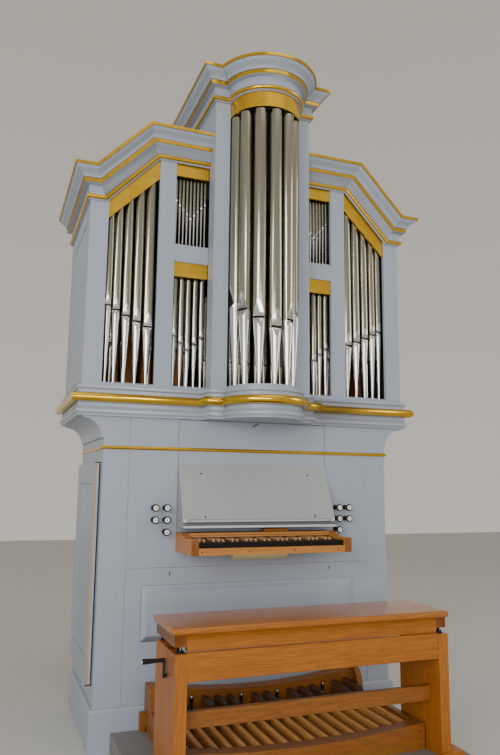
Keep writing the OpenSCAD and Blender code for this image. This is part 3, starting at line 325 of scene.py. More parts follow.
ROSE = dict(pale=(0.68, 0.40, 0.20), deep=(0.50, 0.27, 0.12), dark=(0.20, 0.09, 0.04))


def platform_paint():
    """Grey floor paint, scuffed where feet pass."""
    material, tree, principled = new_material("platform_paint")
    film = place_group(tree, FILM, Vector=object_vector(tree), Mottle_Scale=4.0, Peel_Scale=150.0)
    grain = place_group(tree, GRAIN, Vector=object_vector(tree, AXES["y"]), Band_Scale=1.0, Fibre_Scale=10.0)
    tone = blend_colours(tree, film["Mottle"], (0.165, 0.165, 0.165, 1), (0.235, 0.232, 0.225, 1))
    scuffed = ranged(tree, grain["Fibre"], 0.5, 0.75, 0.0, 0.5)
    tone = blend_colours(tree, scuffed, tone, (0.30, 0.285, 0.26, 1))
    colour_by(tree, principled, tone)
    rough_by(tree, principled, film["Mottle"], 0.3, 0.7, 0.55, 0.75)
    bump(tree, principled, grain["Fibre"], 0.3 * MM)
    return material


def worked_metal(name, pale, deep, rough):
    """Brass, chrome or iron with a faint turned or drawn texture."""
    material, tree, principled = new_material(name, Metallic=1.0)
    fine = object_vector(tree, (60, 60, 60))
    film = place_group(tree, FILM, Vector=fine, Mottle_Scale=1.0, Peel_Scale=8.0)
    colour_by(tree, principled, blend_colours(tree, film["Mottle"], (*deep, 1), (*pale, 1)))
    rough_by(tree, principled, film["Peel"], 0.3, 0.7, rough, rough + 0.12)
    bump(tree, principled, film["Peel"], 0.06 * MM)
    return material


def plain_finish(name, colour, rough, speckle=0.08, metallic=0.0):
    """A small part's finish: one colour with a faint speckle."""
    material, tree, principled = new_material(name, Metallic=metallic)
    film = place_group(tree, FILM, Vector=object_vector(tree), Mottle_Scale=60.0, Peel_Scale=700.0)
    deep = tuple(c * (1 - 2 * speckle) for c in colour)
    colour_by(tree, principled, blend_colours(tree, film["Mottle"], (*deep, 1), (*colour, 1)))
    rough_by(tree, principled, film["Peel"], 0.3, 0.7, rough, rough + 0.1)
    bump(tree, principled, film["Peel"], 0.05 * MM)
    return material


PAINT = case_paint()
# A lighter copy of the case paint: painted highlight on the groove's back and the lip's front
LIP_HIGHLIGHT_PAINT = case_paint("desk_lip_painted_highlight", (0.60, 0.620, 0.640), (0.56, 0.580, 0.600))
DESK_PAINT = case_paint("desk_paint", (0.372, 0.392, 0.400), (0.345, 0.368, 0.380), 0.42)
GOLD = gold_leaf()
GILT_ROUND = gold_leaf("burnished_gold", 0.13, 0.8)
TIN = pipe_tin("pipe_tin", (0.355, 0.335, 0.262), (0.430, 0.410, 0.335), 0.14)
# A lighter copy of the pipe tin: painted highlight on the pipes' feet and lips
TIN_HIGHLIGHT = pipe_tin("pipe_lips_painted_highlight", (0.66, 0.652, 0.622), (0.78, 0.772, 0.742), 0.15)
OAK_X, OAK_Y, OAK_Z = (varnished_wood("oak_" + a, a, **OAK) for a in "xyz")
SEAT_X, SEAT_Y = (varnished_wood("seat_oak_" + a, a, gloss=0.20, coat=0.45, **OAK) for a in "xy")
END_GRAIN = varnished_wood("oak_end_grain", "z", gloss=0.40, fibre=30.0, **END_OAK)
PEDAL_TOP_LIT = varnished_wood("pedal_oak_painted_light", "y", gloss=0.38, **PEDAL_OAK_LIT)
BOARD_X, BOARD_Y = (varnished_wood("pedalboard_oak_" + a, a, gloss=0.38, **BOARD_OAK) for a in "xy")
PEDAL_FLANK_SHADE = varnished_wood("pedal_flank_painted_shade", "y", gloss=0.42, **PEDAL_FLANK_SHADED)
MANUAL_X, MANUAL_Y = (varnished_wood("manual_oak_" + a, a, gloss=0.36, **MANUAL_OAK) for a in "xy")
RAW_OAK = varnished_wood("raw_oak", "z", gloss=0.6, coat=0.0, **BARE_OAK)
BLACK_Y = varnished_wood("blackwood", "y", gloss=0.22, **BLACKWOOD)
KEY_BLACK = varnished_wood("key_black", "y", gloss=0.30, coat=0.0, shine=0.12, **BLACKWOOD)
SHARP_SIDE_Y = varnished_wood("pedal_sharp_side", "y", gloss=0.34, **SHARP_SIDE)
INSIDE_SHADE = varnished_wood("inside_painted_shade", "z", gloss=0.6, coat=0.0, **SHADED_BOARD)
PINE_Z = varnished_wood("pine", "z", gloss=0.5, coat=0.0, **PINE)
SHARP_WOOD = varnished_wood("sharp_wood", "y", gloss=0.35, **ROSE)
PLATFORM = platform_paint()
# The lamp's brass is paler and less metallic than brass: painted light against the manual's shade over it
LAMP_BRASS_LIT = plain_finish("lamp_brass_painted_light", (0.86, 0.78, 0.44), 0.3, 0.06, 0.35)
BRIGHT_BRASS = worked_metal("lamp_ends", (0.92, 0.84, 0.58), (0.82, 0.72, 0.44), 0.16)
CHROME = worked_metal("chrome", (0.86, 0.87, 0.88), (0.78, 0.79, 0.81), 0.08)
IRON = worked_metal("black_iron", (0.10, 0.10, 0.11), (0.04, 0.04, 0.045), 0.42)
SHADOW = plain_finish("mouth_shadow", (0.012, 0.011, 0.010), 0.8)
# Dark lines for joints between boards, and painted shade in gaps and quirks
SEAM_AND_SHADE = plain_finish("seam_shadow", (0.115, 0.125, 0.140), 0.8)
PALE_SEAM = plain_finish("faint_seam", (0.27, 0.295, 0.325), 0.6)
GROOVE = plain_finish("groove_shadow", (0.105, 0.112, 0.122), 0.7)
PEG_STEEL = plain_finish("peg_screw_metal", (0.86, 0.86, 0.84), 0.3, 0.02)
FACE_WHITE = plain_finish("knob_face", (0.95, 0.945, 0.92), 0.34, 0.02)
FACE_GREY = plain_finish("knob_mark", (0.15, 0.15, 0.15), 0.5)
KNOB_BLACK = varnished_wood("knob_black", "y", gloss=0.30, coat=0.0, shine=0.2, **BLACKWOOD)

# Nodes of one finish that isn't the case's paint
FINISH = {
    "platform": PLATFORM, "rear_wood_pipes": OAK_Z, "thin_gold_band": GILT_ROUND, "gold_roll": GILT_ROUND,
    "cornice_gilding": GILT_ROUND, "pipe_shades": GOLD, "natural_keys": KEY_BLACK, "sharp_keys": SHARP_WOOD,
    "pedal_pegs": BLACK_Y, "door_pivots": IRON, "bench_ends": OAK_Z,
}


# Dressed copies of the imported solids

def merged(node):
    """The node's mesh as a bmesh with its triangles joined into the faces that they tile."""
    bm = bmesh.new()
    bm.from_mesh(frame["nodes"][node].data)
    bmesh.ops.remove_doubles(bm, verts=bm.verts, dist=0.1 * HAIR)
    bmesh.ops.dissolve_degenerate(bm, dist=0.05 * HAIR, edges=bm.edges)
    bmesh.ops.dissolve_limit(bm, angle_limit=math.radians(0.4), verts=bm.verts, edges=bm.edges)
    return bm


def keep(piece_name, bm, materials, body, smooth_angle=38):
    """Makes a piece from a bmesh, smooth over its rounds, riding on a body."""
    mesh = bpy.data.meshes.new(piece_name)
    bm.to_mesh(mesh)
    bm.free()
    for material in materials:
        mesh.materials.append(material)
    mesh.polygons.foreach_set("use_smooth", [True] * len(mesh.polygons))
    mesh.set_sharp_from_angle(angle=math.radians(smooth_angle))
    piece = bpy.data.objects.new(piece_name, mesh)
    bpy.context.scene.collection.objects.link(piece)
    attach(piece, body)
    return piece


def ease_edges(piece, width):
    """Rounds the piece's edges over by a small bevel."""
    bevel = piece.modifiers.new("eased_edges", "BEVEL")
    bevel.width = width
    bevel.segments = 2
    bevel.limit_method = "ANGLE"
    bevel.angle_limit = math.radians(40)
    bevel.harden_normals = True


def dress(node, materials, sort_faces=None):
    """A joined copy that stands for the node: finishes by face, edges eased by a small bevel."""
    bm = merged(node)
    if sort_faces:
        sort_faces(bm)
    piece = keep(node + "_dressed", bm, materials, BODY_OF[node], SMOOTH.get(node, 38))
    if node in EASED:
        ease_edges(piece, EASED[node] * MM)
    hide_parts(node)
    return piece


def by_test(*tests):
    """A face sorter: a face gets the number of the last test that it passes, or else 0."""
    def sort(bm):
        for face in bm.faces:
            middle = face.calc_center_median()
            for number, test in enumerate(tests, 1):
                if test(middle, face.normal):
                    face.material_index = number
    return sort


def cut_across(bm, *places, along=(1, 0, 0)):
    """Splits the faces at planes across x or another axis, so that each part of a face can be sorted."""
    for place in places:
        geometry = bm.verts[:] + bm.edges[:] + bm.faces[:]
        bmesh.ops.bisect_plane(bm, geom=geometry, plane_co=Vector(along) * place, plane_no=along,
                               dist=0.1 * HAIR)


def islands(bm):
    """The bmesh's separate solids, each as a list of faces."""
    left = set(bm.faces)
    found = []
    while left:
        stack = [left.pop()]
        solid = []
        while stack:
            face = stack.pop()
            solid.append(face)
            for edge in face.edges:
                for other in edge.link_faces:
                    if other in left:
                        left.remove(other)
                        stack.append(other)
        found.append(solid)
    return found


def sort_pipe(bm):
    """Painted shadow inside each mouth, between its two ledges; painted highlight on the foot below it and
    on the lip above it.
    """
    for solid in islands(bm):
        heights = [v.co.z for f in solid for v in f.verts]
        low, high = min(heights), max(heights)
        ledges = [f.calc_center_median().z for f in solid if abs(f.normal.z) > 0.9]
        ledges = [z for z in ledges if low + MM < z < high - MM]
        sill, top = min(ledges) + HAIR, max(ledges) - HAIR
        for face in solid:
            corners = [v.co.z for v in face.verts]
            if max(corners) < sill:
                face.material_index = 2
            elif max(corners) < top + 2 * HAIR:
                face.material_index = 1
            elif min(corners) > top and max(corners) < high - MM and 0.05 < abs(face.normal.z) < 0.9:
                face.material_index = 2


# Widths of the eased edges, in millimetres, and angles in degrees over which a piece's faces stay crisp
EASED = {
    "platform": 3, "lower_front_frame": 0.8, "knob_panels": 0.8, "centre_panel": 0.8, "bottom_board": 0.8,
    "lower_sides": 1, "upper_front_frame": 1.5, "upper_sides": 1, "tower_posts": 1.5,
    "side_door_left": 1.5, "side_door_right": 1.5, "music_desk": 1.2, "key_frame": 1,
    "natural_keys": 0.7, "sharp_keys": 1.2, "pedal_frame": 2, "pedal_sharps": 4, "pedal_pegs": 1,
    "bench_ends": 4, "bench_rails": 3, "toe_boards": 0.8, "pipe_shades": 0.8,
}
SMOOTH = {"access_panel": 4, "belt_moulding": 16, "gold_roll": 24, "wing_cornices": 16, "tower_cornice": 16,
          "cornice_gilding": 24, "thin_gold_band": 24, "side_coves": 20, "tower_base": 20}
LEFT_PLAIN = {"windchest", "rear_wood_pipes", "waist_board", "wing_roofs"}
PIPES = {"tower_pipes", "outer_pipes", "lower_inner_pipes", "upper_inner_pipes", "rear_metal_pipes"}
DOORS = ("side_door_left", "side_door_right")

# Places in the frame: lowest and highest corners of nodes
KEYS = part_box("natural_keys")
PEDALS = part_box("pedal_naturals")
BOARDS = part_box("pedal_frame")
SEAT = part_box("bench_seat")
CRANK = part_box("bench_crank")
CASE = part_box("lower_front_frame")
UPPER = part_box("upper_front_frame")
CHEEK_IN = PEDALS[1].x + 6 * MM

# The case: thickness of its outer skin, a side door's middle and reach in y, and the posts' inner part
SKIN = 15 * MM
DOOR_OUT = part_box("side_door_right")[1].x
DOOR_MIDDLE = 375 * MM
DOOR_REACH = 300 * MM
POST_IN = 240 * MM

# The bench: its ends, the rods in them, and the seat with its cross boards and apron
END_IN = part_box("bench_rails")[1].x
END_T = 48 * MM
END_TOP = 580 * MM
ROD_X = END_IN + END_T / 2
ROD_IN = 32 * MM
ROD_R = 9 * MM
SEAT_BACK = 20 * MM
ROD_YS = (SEAT[0].y + ROD_IN, SEAT[1].y - SEAT_BACK - ROD_IN)
ROD_SHOWS = END_TOP + 24.5 * MM
SEAT_T = 27 * MM
CROSS_END = 38 * MM
APRON_LOW = 590 * MM
APRON_DROP = 4 * MM
APRON_FRONT = SEAT[0].y + 40 * MM
BETWEEN_RAILS = 440 * MM

# The music desk's groove: from the board's foot down, its back in painted highlight, its painted shade and
# its lip's front in painted highlight
DESK_FOOT = 1039 * MM
GROOVE_TOP = 1025 * MM
GROOVE_LOW = 1009 * MM

# Turned parts as (radius, height) in millimetres: a knob's ring and mark, and the crank's grip
KNOB_RING = [(10.9, -0.5), (10.9, 0.15), (10.5, 0.25), (10.1, 0.15), (10.1, -0.5)]
KNOB_MARK = [(3.6, -0.5), (3.6, 0.15), (2.8, 0.3)]
GRIP = [(5.0, 1), (8.6, 2), (10.2, 6), (10.6, 14), (9.8, 28), (8.4, 50), (7.0, 68), (8.0, 73), (8.0, 85)]
GRIP_TIP = 2.5 * MM


def near_rod(place):
    """True on or inside one of the seat's four rods."""
    return any(math.hypot(abs(place.x) - ROD_X, place.y - y) < ROD_R + MM for y in ROD_YS)


def sort_bench_seat(bm):
    """Chrome rods, end grain on the apron's ends, and cross boards at both ends of the seat."""
    cut_across(bm, CROSS_END - SEAT[1].x, SEAT[1].x - CROSS_END, -END_IN, END_IN)
    for v in bm.verts:
        if v.co.y < APRON_FRONT and abs(v.co.z - APRON_LOW) < HAIR:
            v.co.z -= APRON_DROP
    for face in bm.faces:
        place = face.calc_center_median()
        if place.z > SEAT[1].z - SEAT_T - HAIR:
            face.material_index = 4 if abs(place.x) > SEAT[1].x - CROSS_END else 0
        elif near_rod(place) and place.z < ROD_SHOWS:
            face.material_index = 1
        elif abs(place.x) > END_IN - HAIR:
            face.material_index = 3 if abs(face.normal.y) > 0.9 else 2
        else:
            face.material_index = 5


def dress_knob(node):
    """Black turned knob with a pale face, a ring and a mark on it."""
    low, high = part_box(node)
    middle = (low + high) / 2
    face_radius = 0.72 * (high.x - low.x) / 2
    face_back = low.y + 3.6 * MM

    def sort(bm):
        for face in bm.faces:
            reach = max(math.hypot(v.co.x - middle.x, v.co.z - middle.z) for v in face.verts)
            if face.calc_center_median().y < face_back and reach < face_radius:
                face.material_index = 1

    dress(node, [KNOB_BLACK, FACE_WHITE], sort)
    face = Vector((middle.x, low.y, middle.z))
    bm = bmesh.new()
    turned(bm, face, FRONT, KNOB_RING, 32)
    turned(bm, face, FRONT, KNOB_MARK, 20)
    keep(node + "_mark", bm, [FACE_GREY], BODY_OF[node])


def sort_key_frame(bm):
    """End grain on the cheeks' fronts, and grain along the cheeks' sides."""
    cut_across(bm, -KEYS[1].x, KEYS[1].x)
    by_test(lambda at, n: n.y < -0.9 and abs(at.x) > KEYS[1].x, lambda at, n: abs(n.x) > 0.9)(bm)


def sort_side_door(bm):
    """Bare oak on the outer half of the door's front and back edges."""
    half = DOOR_OUT - 10 * MM
    cut_across(bm, -half, half)
    by_test(lambda at, n: abs(n.y) > 0.9 and abs(at.y - DOOR_MIDDLE) > DOOR_REACH and abs(at.x) > half)(bm)


def sort_desk(bm):
    """Painted shade low in the groove and under the ledge, painted highlight above it and on the lip's
    front.
    """
    cut_across(bm, GROOVE_LOW, GROOVE_TOP, along=(0, 0, 1))
    by_test(lambda at, n: n.z < -0.9 or (GROOVE_LOW < at.z < GROOVE_TOP and n.y < -0.2),
            lambda at, n: n.y < -0.9 and (at.z < GROOVE_LOW or GROOVE_TOP < at.z < DESK_FOOT))(bm)


def sort_pedal_frame(bm):
    """Grain along the cheeks, end grain where their ends come through the front box."""
    cut_across(bm, -CHEEK_IN, CHEEK_IN)
    by_test(lambda at, n: abs(at.x) > CHEEK_IN,
            lambda at, n: abs(at.x) > CHEEK_IN and n.y < -0.9 and at.y < PEDALS[0].y)(bm)


def faces_in(reach):
    """A test for the inner faces of side walls whose outer faces are at this reach."""
    return lambda at, n: n.x * at.x < 0 and abs(n.x) > 0.9 and abs(at.x) < reach - SKIN


def dress_all():
    """Every node gets its finish: some have more than one, by face, and the case's inside faces get painted
    shade.
    """
    # Painted shade on the case's inside faces, the backs of boards and the toe boards' undersides
    dark = {
        "upper_front_frame": lambda at, n: n.y > 0.9,
        "upper_sides": faces_in(UPPER[1].x),
        "lower_sides": faces_in(CASE[1].x),
        "toe_boards": lambda at, n: n.z < -0.9,
        "tower_posts": lambda at, n: n.y > 0.9 or (n.x * at.x < 0 and abs(at.x) > POST_IN),
    }
    ways = {
        "back_boards": ([PINE_Z, INSIDE_SHADE], by_test(lambda at, n: n.y < -0.9)),
        "music_desk": ([DESK_PAINT, GROOVE, LIP_HIGHLIGHT_PAINT], sort_desk),
        "key_frame": ([MANUAL_X, END_GRAIN, MANUAL_Y], sort_key_frame),
        "pedal_lamp": ([LAMP_BRASS_LIT, BRIGHT_BRASS], by_test(lambda at, n: abs(n.x) > 0.9)),
        "pedal_frame": ([BOARD_X, BOARD_Y, END_GRAIN], sort_pedal_frame),
        # Pedal tops in painted light, their flanks in painted shade
        "pedal_naturals": ([PEDAL_TOP_LIT, PEDAL_FLANK_SHADE], by_test(lambda at, n: abs(n.x) > 0.7)),
        "pedal_sharps": ([SHARP_SIDE_Y, BLACK_Y], by_test(lambda at, n: n.z > 0.2)),
        # The stretcher below the seat takes the darker pedalboard oak: painted shade under the bench
        "bench_rails": ([OAK_X, BOARD_X], by_test(lambda at, n: at.z < BETWEEN_RAILS)),
        "bench_seat": ([SEAT_X, CHROME, OAK_Y, END_GRAIN, SEAT_Y, OAK_X], sort_bench_seat),
    }
    ways.update({node: ([PAINT, INSIDE_SHADE], by_test(test)) for node, test in dark.items()})
    ways.update({node: ([TIN, SHADOW, TIN_HIGHLIGHT], sort_pipe) for node in PIPES})
    ways.update({node: ([PAINT, RAW_OAK], sort_side_door) for node in DOORS})
    for node, packed in frame["nodes"].items():
        finish = FINISH.get(node, PAINT)
        if node in LEFT_PLAIN:
            packed.data.materials.clear()
            packed.data.materials.append(finish)
        elif node.startswith("stop_knob"):
            dress_knob(node)
        elif node == "bench_crank":
            dress_crank()
        else:
            dress(node, *ways.get(node, ([finish], None)))


# Small parts

def turned(bm, base, out, profile, steps=24):
    """A turned part: rings of (radius, height) in millimetres about base, closed at both ends."""
    side = out.orthogonal().normalized()
    other = out.cross(side)
    rings = []
    for radius, height in profile:
        ring = []
        for i in range(steps):
            a = 2 * math.pi * i / steps
            spoke = math.cos(a) * side + math.sin(a) * other
            ring.append(bm.verts.new(base + out * height * MM + radius * MM * spoke))
        rings.append(ring)
    for low, high in zip(rings, rings[1:]):
        for i in range(steps):
            j = (i + 1) % steps
            bm.faces.new((low[i], low[j], high[j], high[i]))
    bm.faces.new(list(reversed(rings[0])))
    bm.faces.new(rings[-1])


def block(bm, low, high):
    """A box between two corners in millimetres."""
    made = bmesh.ops.create_cube(bm, size=1.0)["verts"]
    for v in made:
        v.co = Vector([(high[i] + low[i]) / 2 + v.co[i] * (high[i] - low[i]) for i in range(3)]) * MM


def mitred_frame(bm, face_x, out, y0, y1, z0, z1, profile):
    """A moulding round a field on a side wall: a profile of (inset, height) mitred at four corners."""
    rings = []
    for inset, height in profile:
        near, away, low, high = y0 + inset, y1 - inset, z0 + inset, z1 - inset
        corners = ((near, low), (away, low), (away, high), (near, high))
        rings.append([bm.verts.new(Vector((face_x + out * height, y, z)) * MM) for y, z in corners])
    for a, b in zip(rings, rings[1:] + rings[:1]):
        for i in range(4):
            j = (i + 1) % 4
            bm.faces.new((a[i], a[j], b[j], b[i]))
    bmesh.ops.recalc_face_normals(bm, faces=bm.faces)


def dress_crank():
    """Black crank with a tapered grip and its pale end."""
    node = "bench_crank"
    bm = merged(node)
    arm_x = -END_IN - END_T - 16 * MM
    grip = [v for v in bm.verts if v.co.x < arm_x - HAIR]
    grip_end = Vector((CRANK[0].x, sum(v.co.y for v in grip) / len(grip), CRANK[1].z - 8 * MM))
    bmesh.ops.delete(bm, geom=grip, context="VERTS")
    bmesh.ops.holes_fill(bm, edges=bm.edges, sides=0)
    first = len(bm.faces)
    turned(bm, grip_end, Vector((1, 0, 0)), GRIP, 24)
    bm.faces.ensure_lookup_table()
    for face in bm.faces[first:]:
        face.material_index = 1 if face.calc_center_median().x < CRANK[0].x + GRIP_TIP else 0
    piece = keep(node + "_dressed", bm, [KNOB_BLACK, FACE_WHITE], BODY_OF[node])
    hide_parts(node)


def new_geometry(name, inputs):
    """A geometry tree with named inputs; returns the tree, its input node and its output node."""
    tree = bpy.data.node_groups.new(name, "GeometryNodeTree")
    tree.interface.new_socket("Geometry", in_out="INPUT", socket_type="NodeSocketGeometry")
    for socket, kind in inputs:
        tree.interface.new_socket(socket, in_out="INPUT", socket_type=kind)
    tree.interface.new_socket("Geometry", in_out="OUTPUT", socket_type="NodeSocketGeometry")
    return tree, tree.nodes.new("NodeGroupInput"), tree.nodes.new("NodeGroupOutput")


def finish_geometry(tree, out, geometry, material):
    """Ends a tree in Realize Instances and Set Material."""
    real = put(tree, "GeometryNodeRealizeInstances", {"Geometry": geometry}).outputs[0]
    dressed = put(tree, "GeometryNodeSetMaterial", {"Geometry": real, "Material": material}).outputs[0]
    tree.links.new(dressed, out.inputs[0])


def make_screw_tree():
    """A slotted screw head on each point: a low dome cut across by a slot."""
    tree, given, out = new_geometry("screws", [
        ("Diameter", "NodeSocketFloat"), ("Rise", "NodeSocketFloat"), ("Turn", "NodeSocketVector"),
        ("Head", "NodeSocketMaterial")])
    rise = given.outputs["Rise"]
    radius = math_node(tree, "MULTIPLY", given.outputs["Diameter"], 0.5)
    dome = put(tree, "GeometryNodeMeshCone", {
        "Vertices": 20, "Radius Top": math_node(tree, "MULTIPLY", radius, 0.62), "Radius Bottom": radius,
        "Depth": rise}).outputs[0]
    long = math_node(tree, "MULTIPLY", radius, 3.0)
    wide = math_node(tree, "MULTIPLY", radius, 0.26)
    size = put(tree, "ShaderNodeCombineXYZ", {0: long, 1: wide, 2: rise}).outputs[0]
    slot = put(tree, "GeometryNodeMeshCube", {"Size": size}).outputs[0]
    lift = put(tree, "ShaderNodeCombineXYZ", {2: rise}).outputs[0]
    slot = put(tree, "GeometryNodeTransform", {"Geometry": slot, "Translation": lift}).outputs[0]
    head = put(tree, "GeometryNodeMeshBoolean", {"Mesh 1": dome, "Mesh 2": slot},
               operation="DIFFERENCE").outputs[0]
    turn = put(tree, "FunctionNodeEulerToRotation", {0: given.outputs["Turn"]}).outputs[0]
    on_points = put(tree, "GeometryNodeInstanceOnPoints", {
        "Points": given.outputs["Geometry"], "Instance": head, "Rotation": turn}).outputs[0]
    finish_geometry(tree, out, on_points, given.outputs["Head"])
    return tree


def make_row_tree():
    """A bar repeated along a row: seams between boards, and the like."""
    tree, given, out = new_geometry("row_of_bars", [
        ("Count", "NodeSocketInt"), ("Start", "NodeSocketVector"), ("Step", "NodeSocketVector"),
        ("Bar", "NodeSocketVector"), ("Finish", "NodeSocketMaterial")])
    line = put(tree, "GeometryNodeMeshLine", {
        "Count": given.outputs["Count"], "Start Location": given.outputs["Start"],
        "Offset": given.outputs["Step"]}, mode="OFFSET").outputs[0]
    bar = put(tree, "GeometryNodeMeshCube", {"Size": given.outputs["Bar"]}).outputs[0]
    bars = put(tree, "GeometryNodeInstanceOnPoints", {"Points": line, "Instance": bar}).outputs[0]
    finish_geometry(tree, out, bars, given.outputs["Finish"])
    return tree


def make_pipe_tree():
    """A plain metal pipe on each point: a tapered foot and a straight body."""
    tree, given, out = new_geometry("plain_pipes", [
        ("Diameter", "NodeSocketFloat"), ("Foot", "NodeSocketFloat"), ("Body", "NodeSocketFloat"),
        ("Metal", "NodeSocketMaterial")])
    radius = math_node(tree, "MULTIPLY", given.outputs["Diameter"], 0.5)
    tip = math_node(tree, "MULTIPLY", radius, 0.24)
    foot = put(tree, "GeometryNodeMeshCone", {
        "Vertices": 28, "Radius Top": radius, "Radius Bottom": tip,
        "Depth": given.outputs["Foot"]}).outputs[0]
    body = put(tree, "GeometryNodeMeshCylinder", {
        "Vertices": 28, "Radius": radius, "Depth": given.outputs["Body"]}).outputs[0]
    half = math_node(tree, "MULTIPLY", given.outputs["Body"], 0.5)
    middle = math_node(tree, "ADD", given.outputs["Foot"], half)
    lift = put(tree, "ShaderNodeCombineXYZ", {2: middle}).outputs[0]
    body = put(tree, "GeometryNodeTransform", {"Geometry": body, "Translation": lift}).outputs[0]
    pipe = put(tree, "GeometryNodeJoinGeometry")
    tree.links.new(foot, pipe.inputs[0])
    tree.links.new(body, pipe.inputs[0])
    on_points = put(tree, "GeometryNodeInstanceOnPoints", {
        "Points": given.outputs["Geometry"], "Instance": pipe.outputs[0]}).outputs[0]
    finish_geometry(tree, out, on_points, given.outputs["Metal"])
    return tree


def baked(piece_name, tree, body, slot, points=(), **values):
    """Runs a geometry tree over points in millimetres and keeps the result as a plain piece."""
    mesh = bpy.data.meshes.new(piece_name)
    mesh.from_pydata([Vector(p) * MM for p in points], [], [])
    maker = bpy.data.objects.new(piece_name + "_maker", mesh)
    bpy.context.scene.collection.objects.link(maker)
    nodes = maker.modifiers.new("maker", "NODES")
    nodes.node_group = tree
    for item in tree.interface.items_tree:
        if item.in_out == "INPUT" and item.name in values:
            nodes[item.identifier] = values[item.name]
    maker.update_tag()
    ready = maker.evaluated_get(bpy.context.evaluated_depsgraph_get())
    made = bpy.data.meshes.new_from_object(ready)
    bpy.data.objects.remove(maker)
    bm = bmesh.new()
    bm.from_mesh(made)
    return keep(piece_name, bm, list(made.materials), body, 30)


# Places and sizes of small parts, in millimetres; the panel's end is where its rail meets the knob panels
TO_FRONT = (math.pi / 2, 0, 0)
DESK_SLOPE = math.atan2(269, 114)
PANEL_END = 655
KEYHOLES = ((-437, 0, 779), (431, 0, 779))
KEYHOLE_R, KEY_SLOT_R, KEY_SLOT_H = 2.8, 1.6, 14
DESK_SCREWS = ((-295, -21, 1259), (295, -21, 1259), (-295, -109.5, 1050), (295, -109.5, 1050))
SLIP_SCREWS = ((-361, -280, 899), (-130, -280, 899), (102, -280, 899), (337, -280, 899))
BACK_Y = 748
BACK_BOARD = 130
HOOK_AT = (14, 0, 1520)
HOOK = [(15, -3.5, 1520.5), (13, -6, 1520), (8, -7, 1517.5), (0, -7, 1513), (-7, -7, 1509),
        (-10, -4, 1507.5), (-10.5, 0.5, 1507.5)]

# More turned parts as (radius, height): a keyhole's ring, the hook's foot and a rod's collar
KEYHOLE_RING = [(4.2, -1), (4.2, 0.4), (3.6, 0.8), (2.8, 0.8), (2.6, -1)]
HOOK_FOOT = [(4, 0), (4, 1), (2.6, 2), (2.4, 6)]
COLLAR = [(9.6, -0.5), (15, -0.5), (15, 2), (13, 3), (13, 9), (11.8, 10.2), (9.6, 10.2)]

# Small blocks as (lowest corner, highest corner, finish, slot, eased edge), in millimetres: the oak block
# and the latch on the manual's lid, and the plate over the crank's slot
SMALL_BLOCKS = {
    "lid_block": ((24, -78, 974), (160, -50, 989), OAK_X, "oak", 2),
    "lid_latch": ((-352, -104, 974), (-312, -96, 976.5), IRON, "iron", 0.8),
    "slot_plate": ((-603, -654, 580), (-566, -636, 581.6), IRON, "iron", 0.6),
}


def peg_screws():
    """One screw near the round top of each tongue, half its width below its top."""
    bm = merged("pedal_pegs")
    places = []
    for solid in islands(bm):
        corners = [v.co for f in solid for v in f.verts]
        low = Vector([min(c[i] for c in corners) for i in range(3)])
        high = Vector([max(c[i] for c in corners) for i in range(3)])
        across = (low.x + high.x) / 2
        places.append((across / MM, low.y / MM, (high.z - (high.x - low.x) / 2) / MM))
    bm.free()
    return places


def fit_screws():
    """Screw heads on the music desk, the key slip and the pedals' pegs."""
    tree = make_screw_tree()
    baked("desk_screws", tree, ORGAN, "iron", DESK_SCREWS, Diameter=9.5 * MM, Rise=0.9 * MM,
          Turn=(DESK_SLOPE, 0, 0), Head=KNOB_BLACK)
    baked("slip_screws", tree, ORGAN, "iron", SLIP_SCREWS, Diameter=7.5 * MM, Rise=0.6 * MM,
          Turn=TO_FRONT, Head=KNOB_BLACK)
    baked("peg_screws", tree, ORGAN, "chrome", peg_screws(), Diameter=9 * MM, Rise=2 * MM,
          Turn=TO_FRONT, Head=PEG_STEEL)


def row(name, tree, slot, finish, count, start, step, bar):
    """A row of bars: the first one's middle, the step to the next one and a bar's size, in millimetres."""
    baked(name, tree, ORGAN, slot, Count=count, Start=Vector(start) * MM, Step=Vector(step) * MM,
          Bar=Vector(bar) * MM, Finish=finish)


def fit_seams():
    """Lines between boards: the case's joints, the back's boards and the platform's; the lines round the
    centre panel and under the manual's lid are painted shadow in their gaps.
    """
    tree = make_row_tree()
    low, top = (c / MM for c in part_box("centre_panel"))
    wide, high = top.x - low.x, top.z - low.z
    side = (low.x - 0.8, 0, (low.z + top.z) / 2)
    for name, finish, count, start, step, bar in (
            ("rail_joints", PALE_SEAM, 2, (-PANEL_END, 0, 844.5), (2 * PANEL_END, 0, 0), (1.0, 0.3, 78)),
            ("centre_panel_joints", SEAM_AND_SHADE, 2, side, (wide + 1.6, 0, 0), (2.3, 0.3, high)),
            ("centre_panel_top_shadow", SEAM_AND_SHADE, 1, (0, 0, top.z - 1.4), (0, 0, 0), (wide, 0.3, 2.2)),
            ("field_rail_joints", PALE_SEAM, 2, (-458, 0, 2402.5), (916, 0, 0), (0.9, 0.3, 95)),
            ("lower_back_boards", SEAM_AND_SHADE, 11, (-650, BACK_Y, 859), (BACK_BOARD, 0, 0), (2.0, 0.8, 1300)),
            ("upper_back_boards", SEAM_AND_SHADE, 13, (-780, BACK_Y, 2150), (BACK_BOARD, 0, 0), (2.0, 0.8, 1150)),
            ("platform_joints", SEAM_AND_SHADE, 5, (-467, -418, 85), (233.5, 0, 0), (1.2, 300, 0.5)),
            ("key_lid_gap_shadow", SHADOW, 1, (0, -112, 962.5), (0, 0, 0), (750, 0.8, 1.6))):
        row(name, tree, "grey_paint", finish, count, start, step, bar)


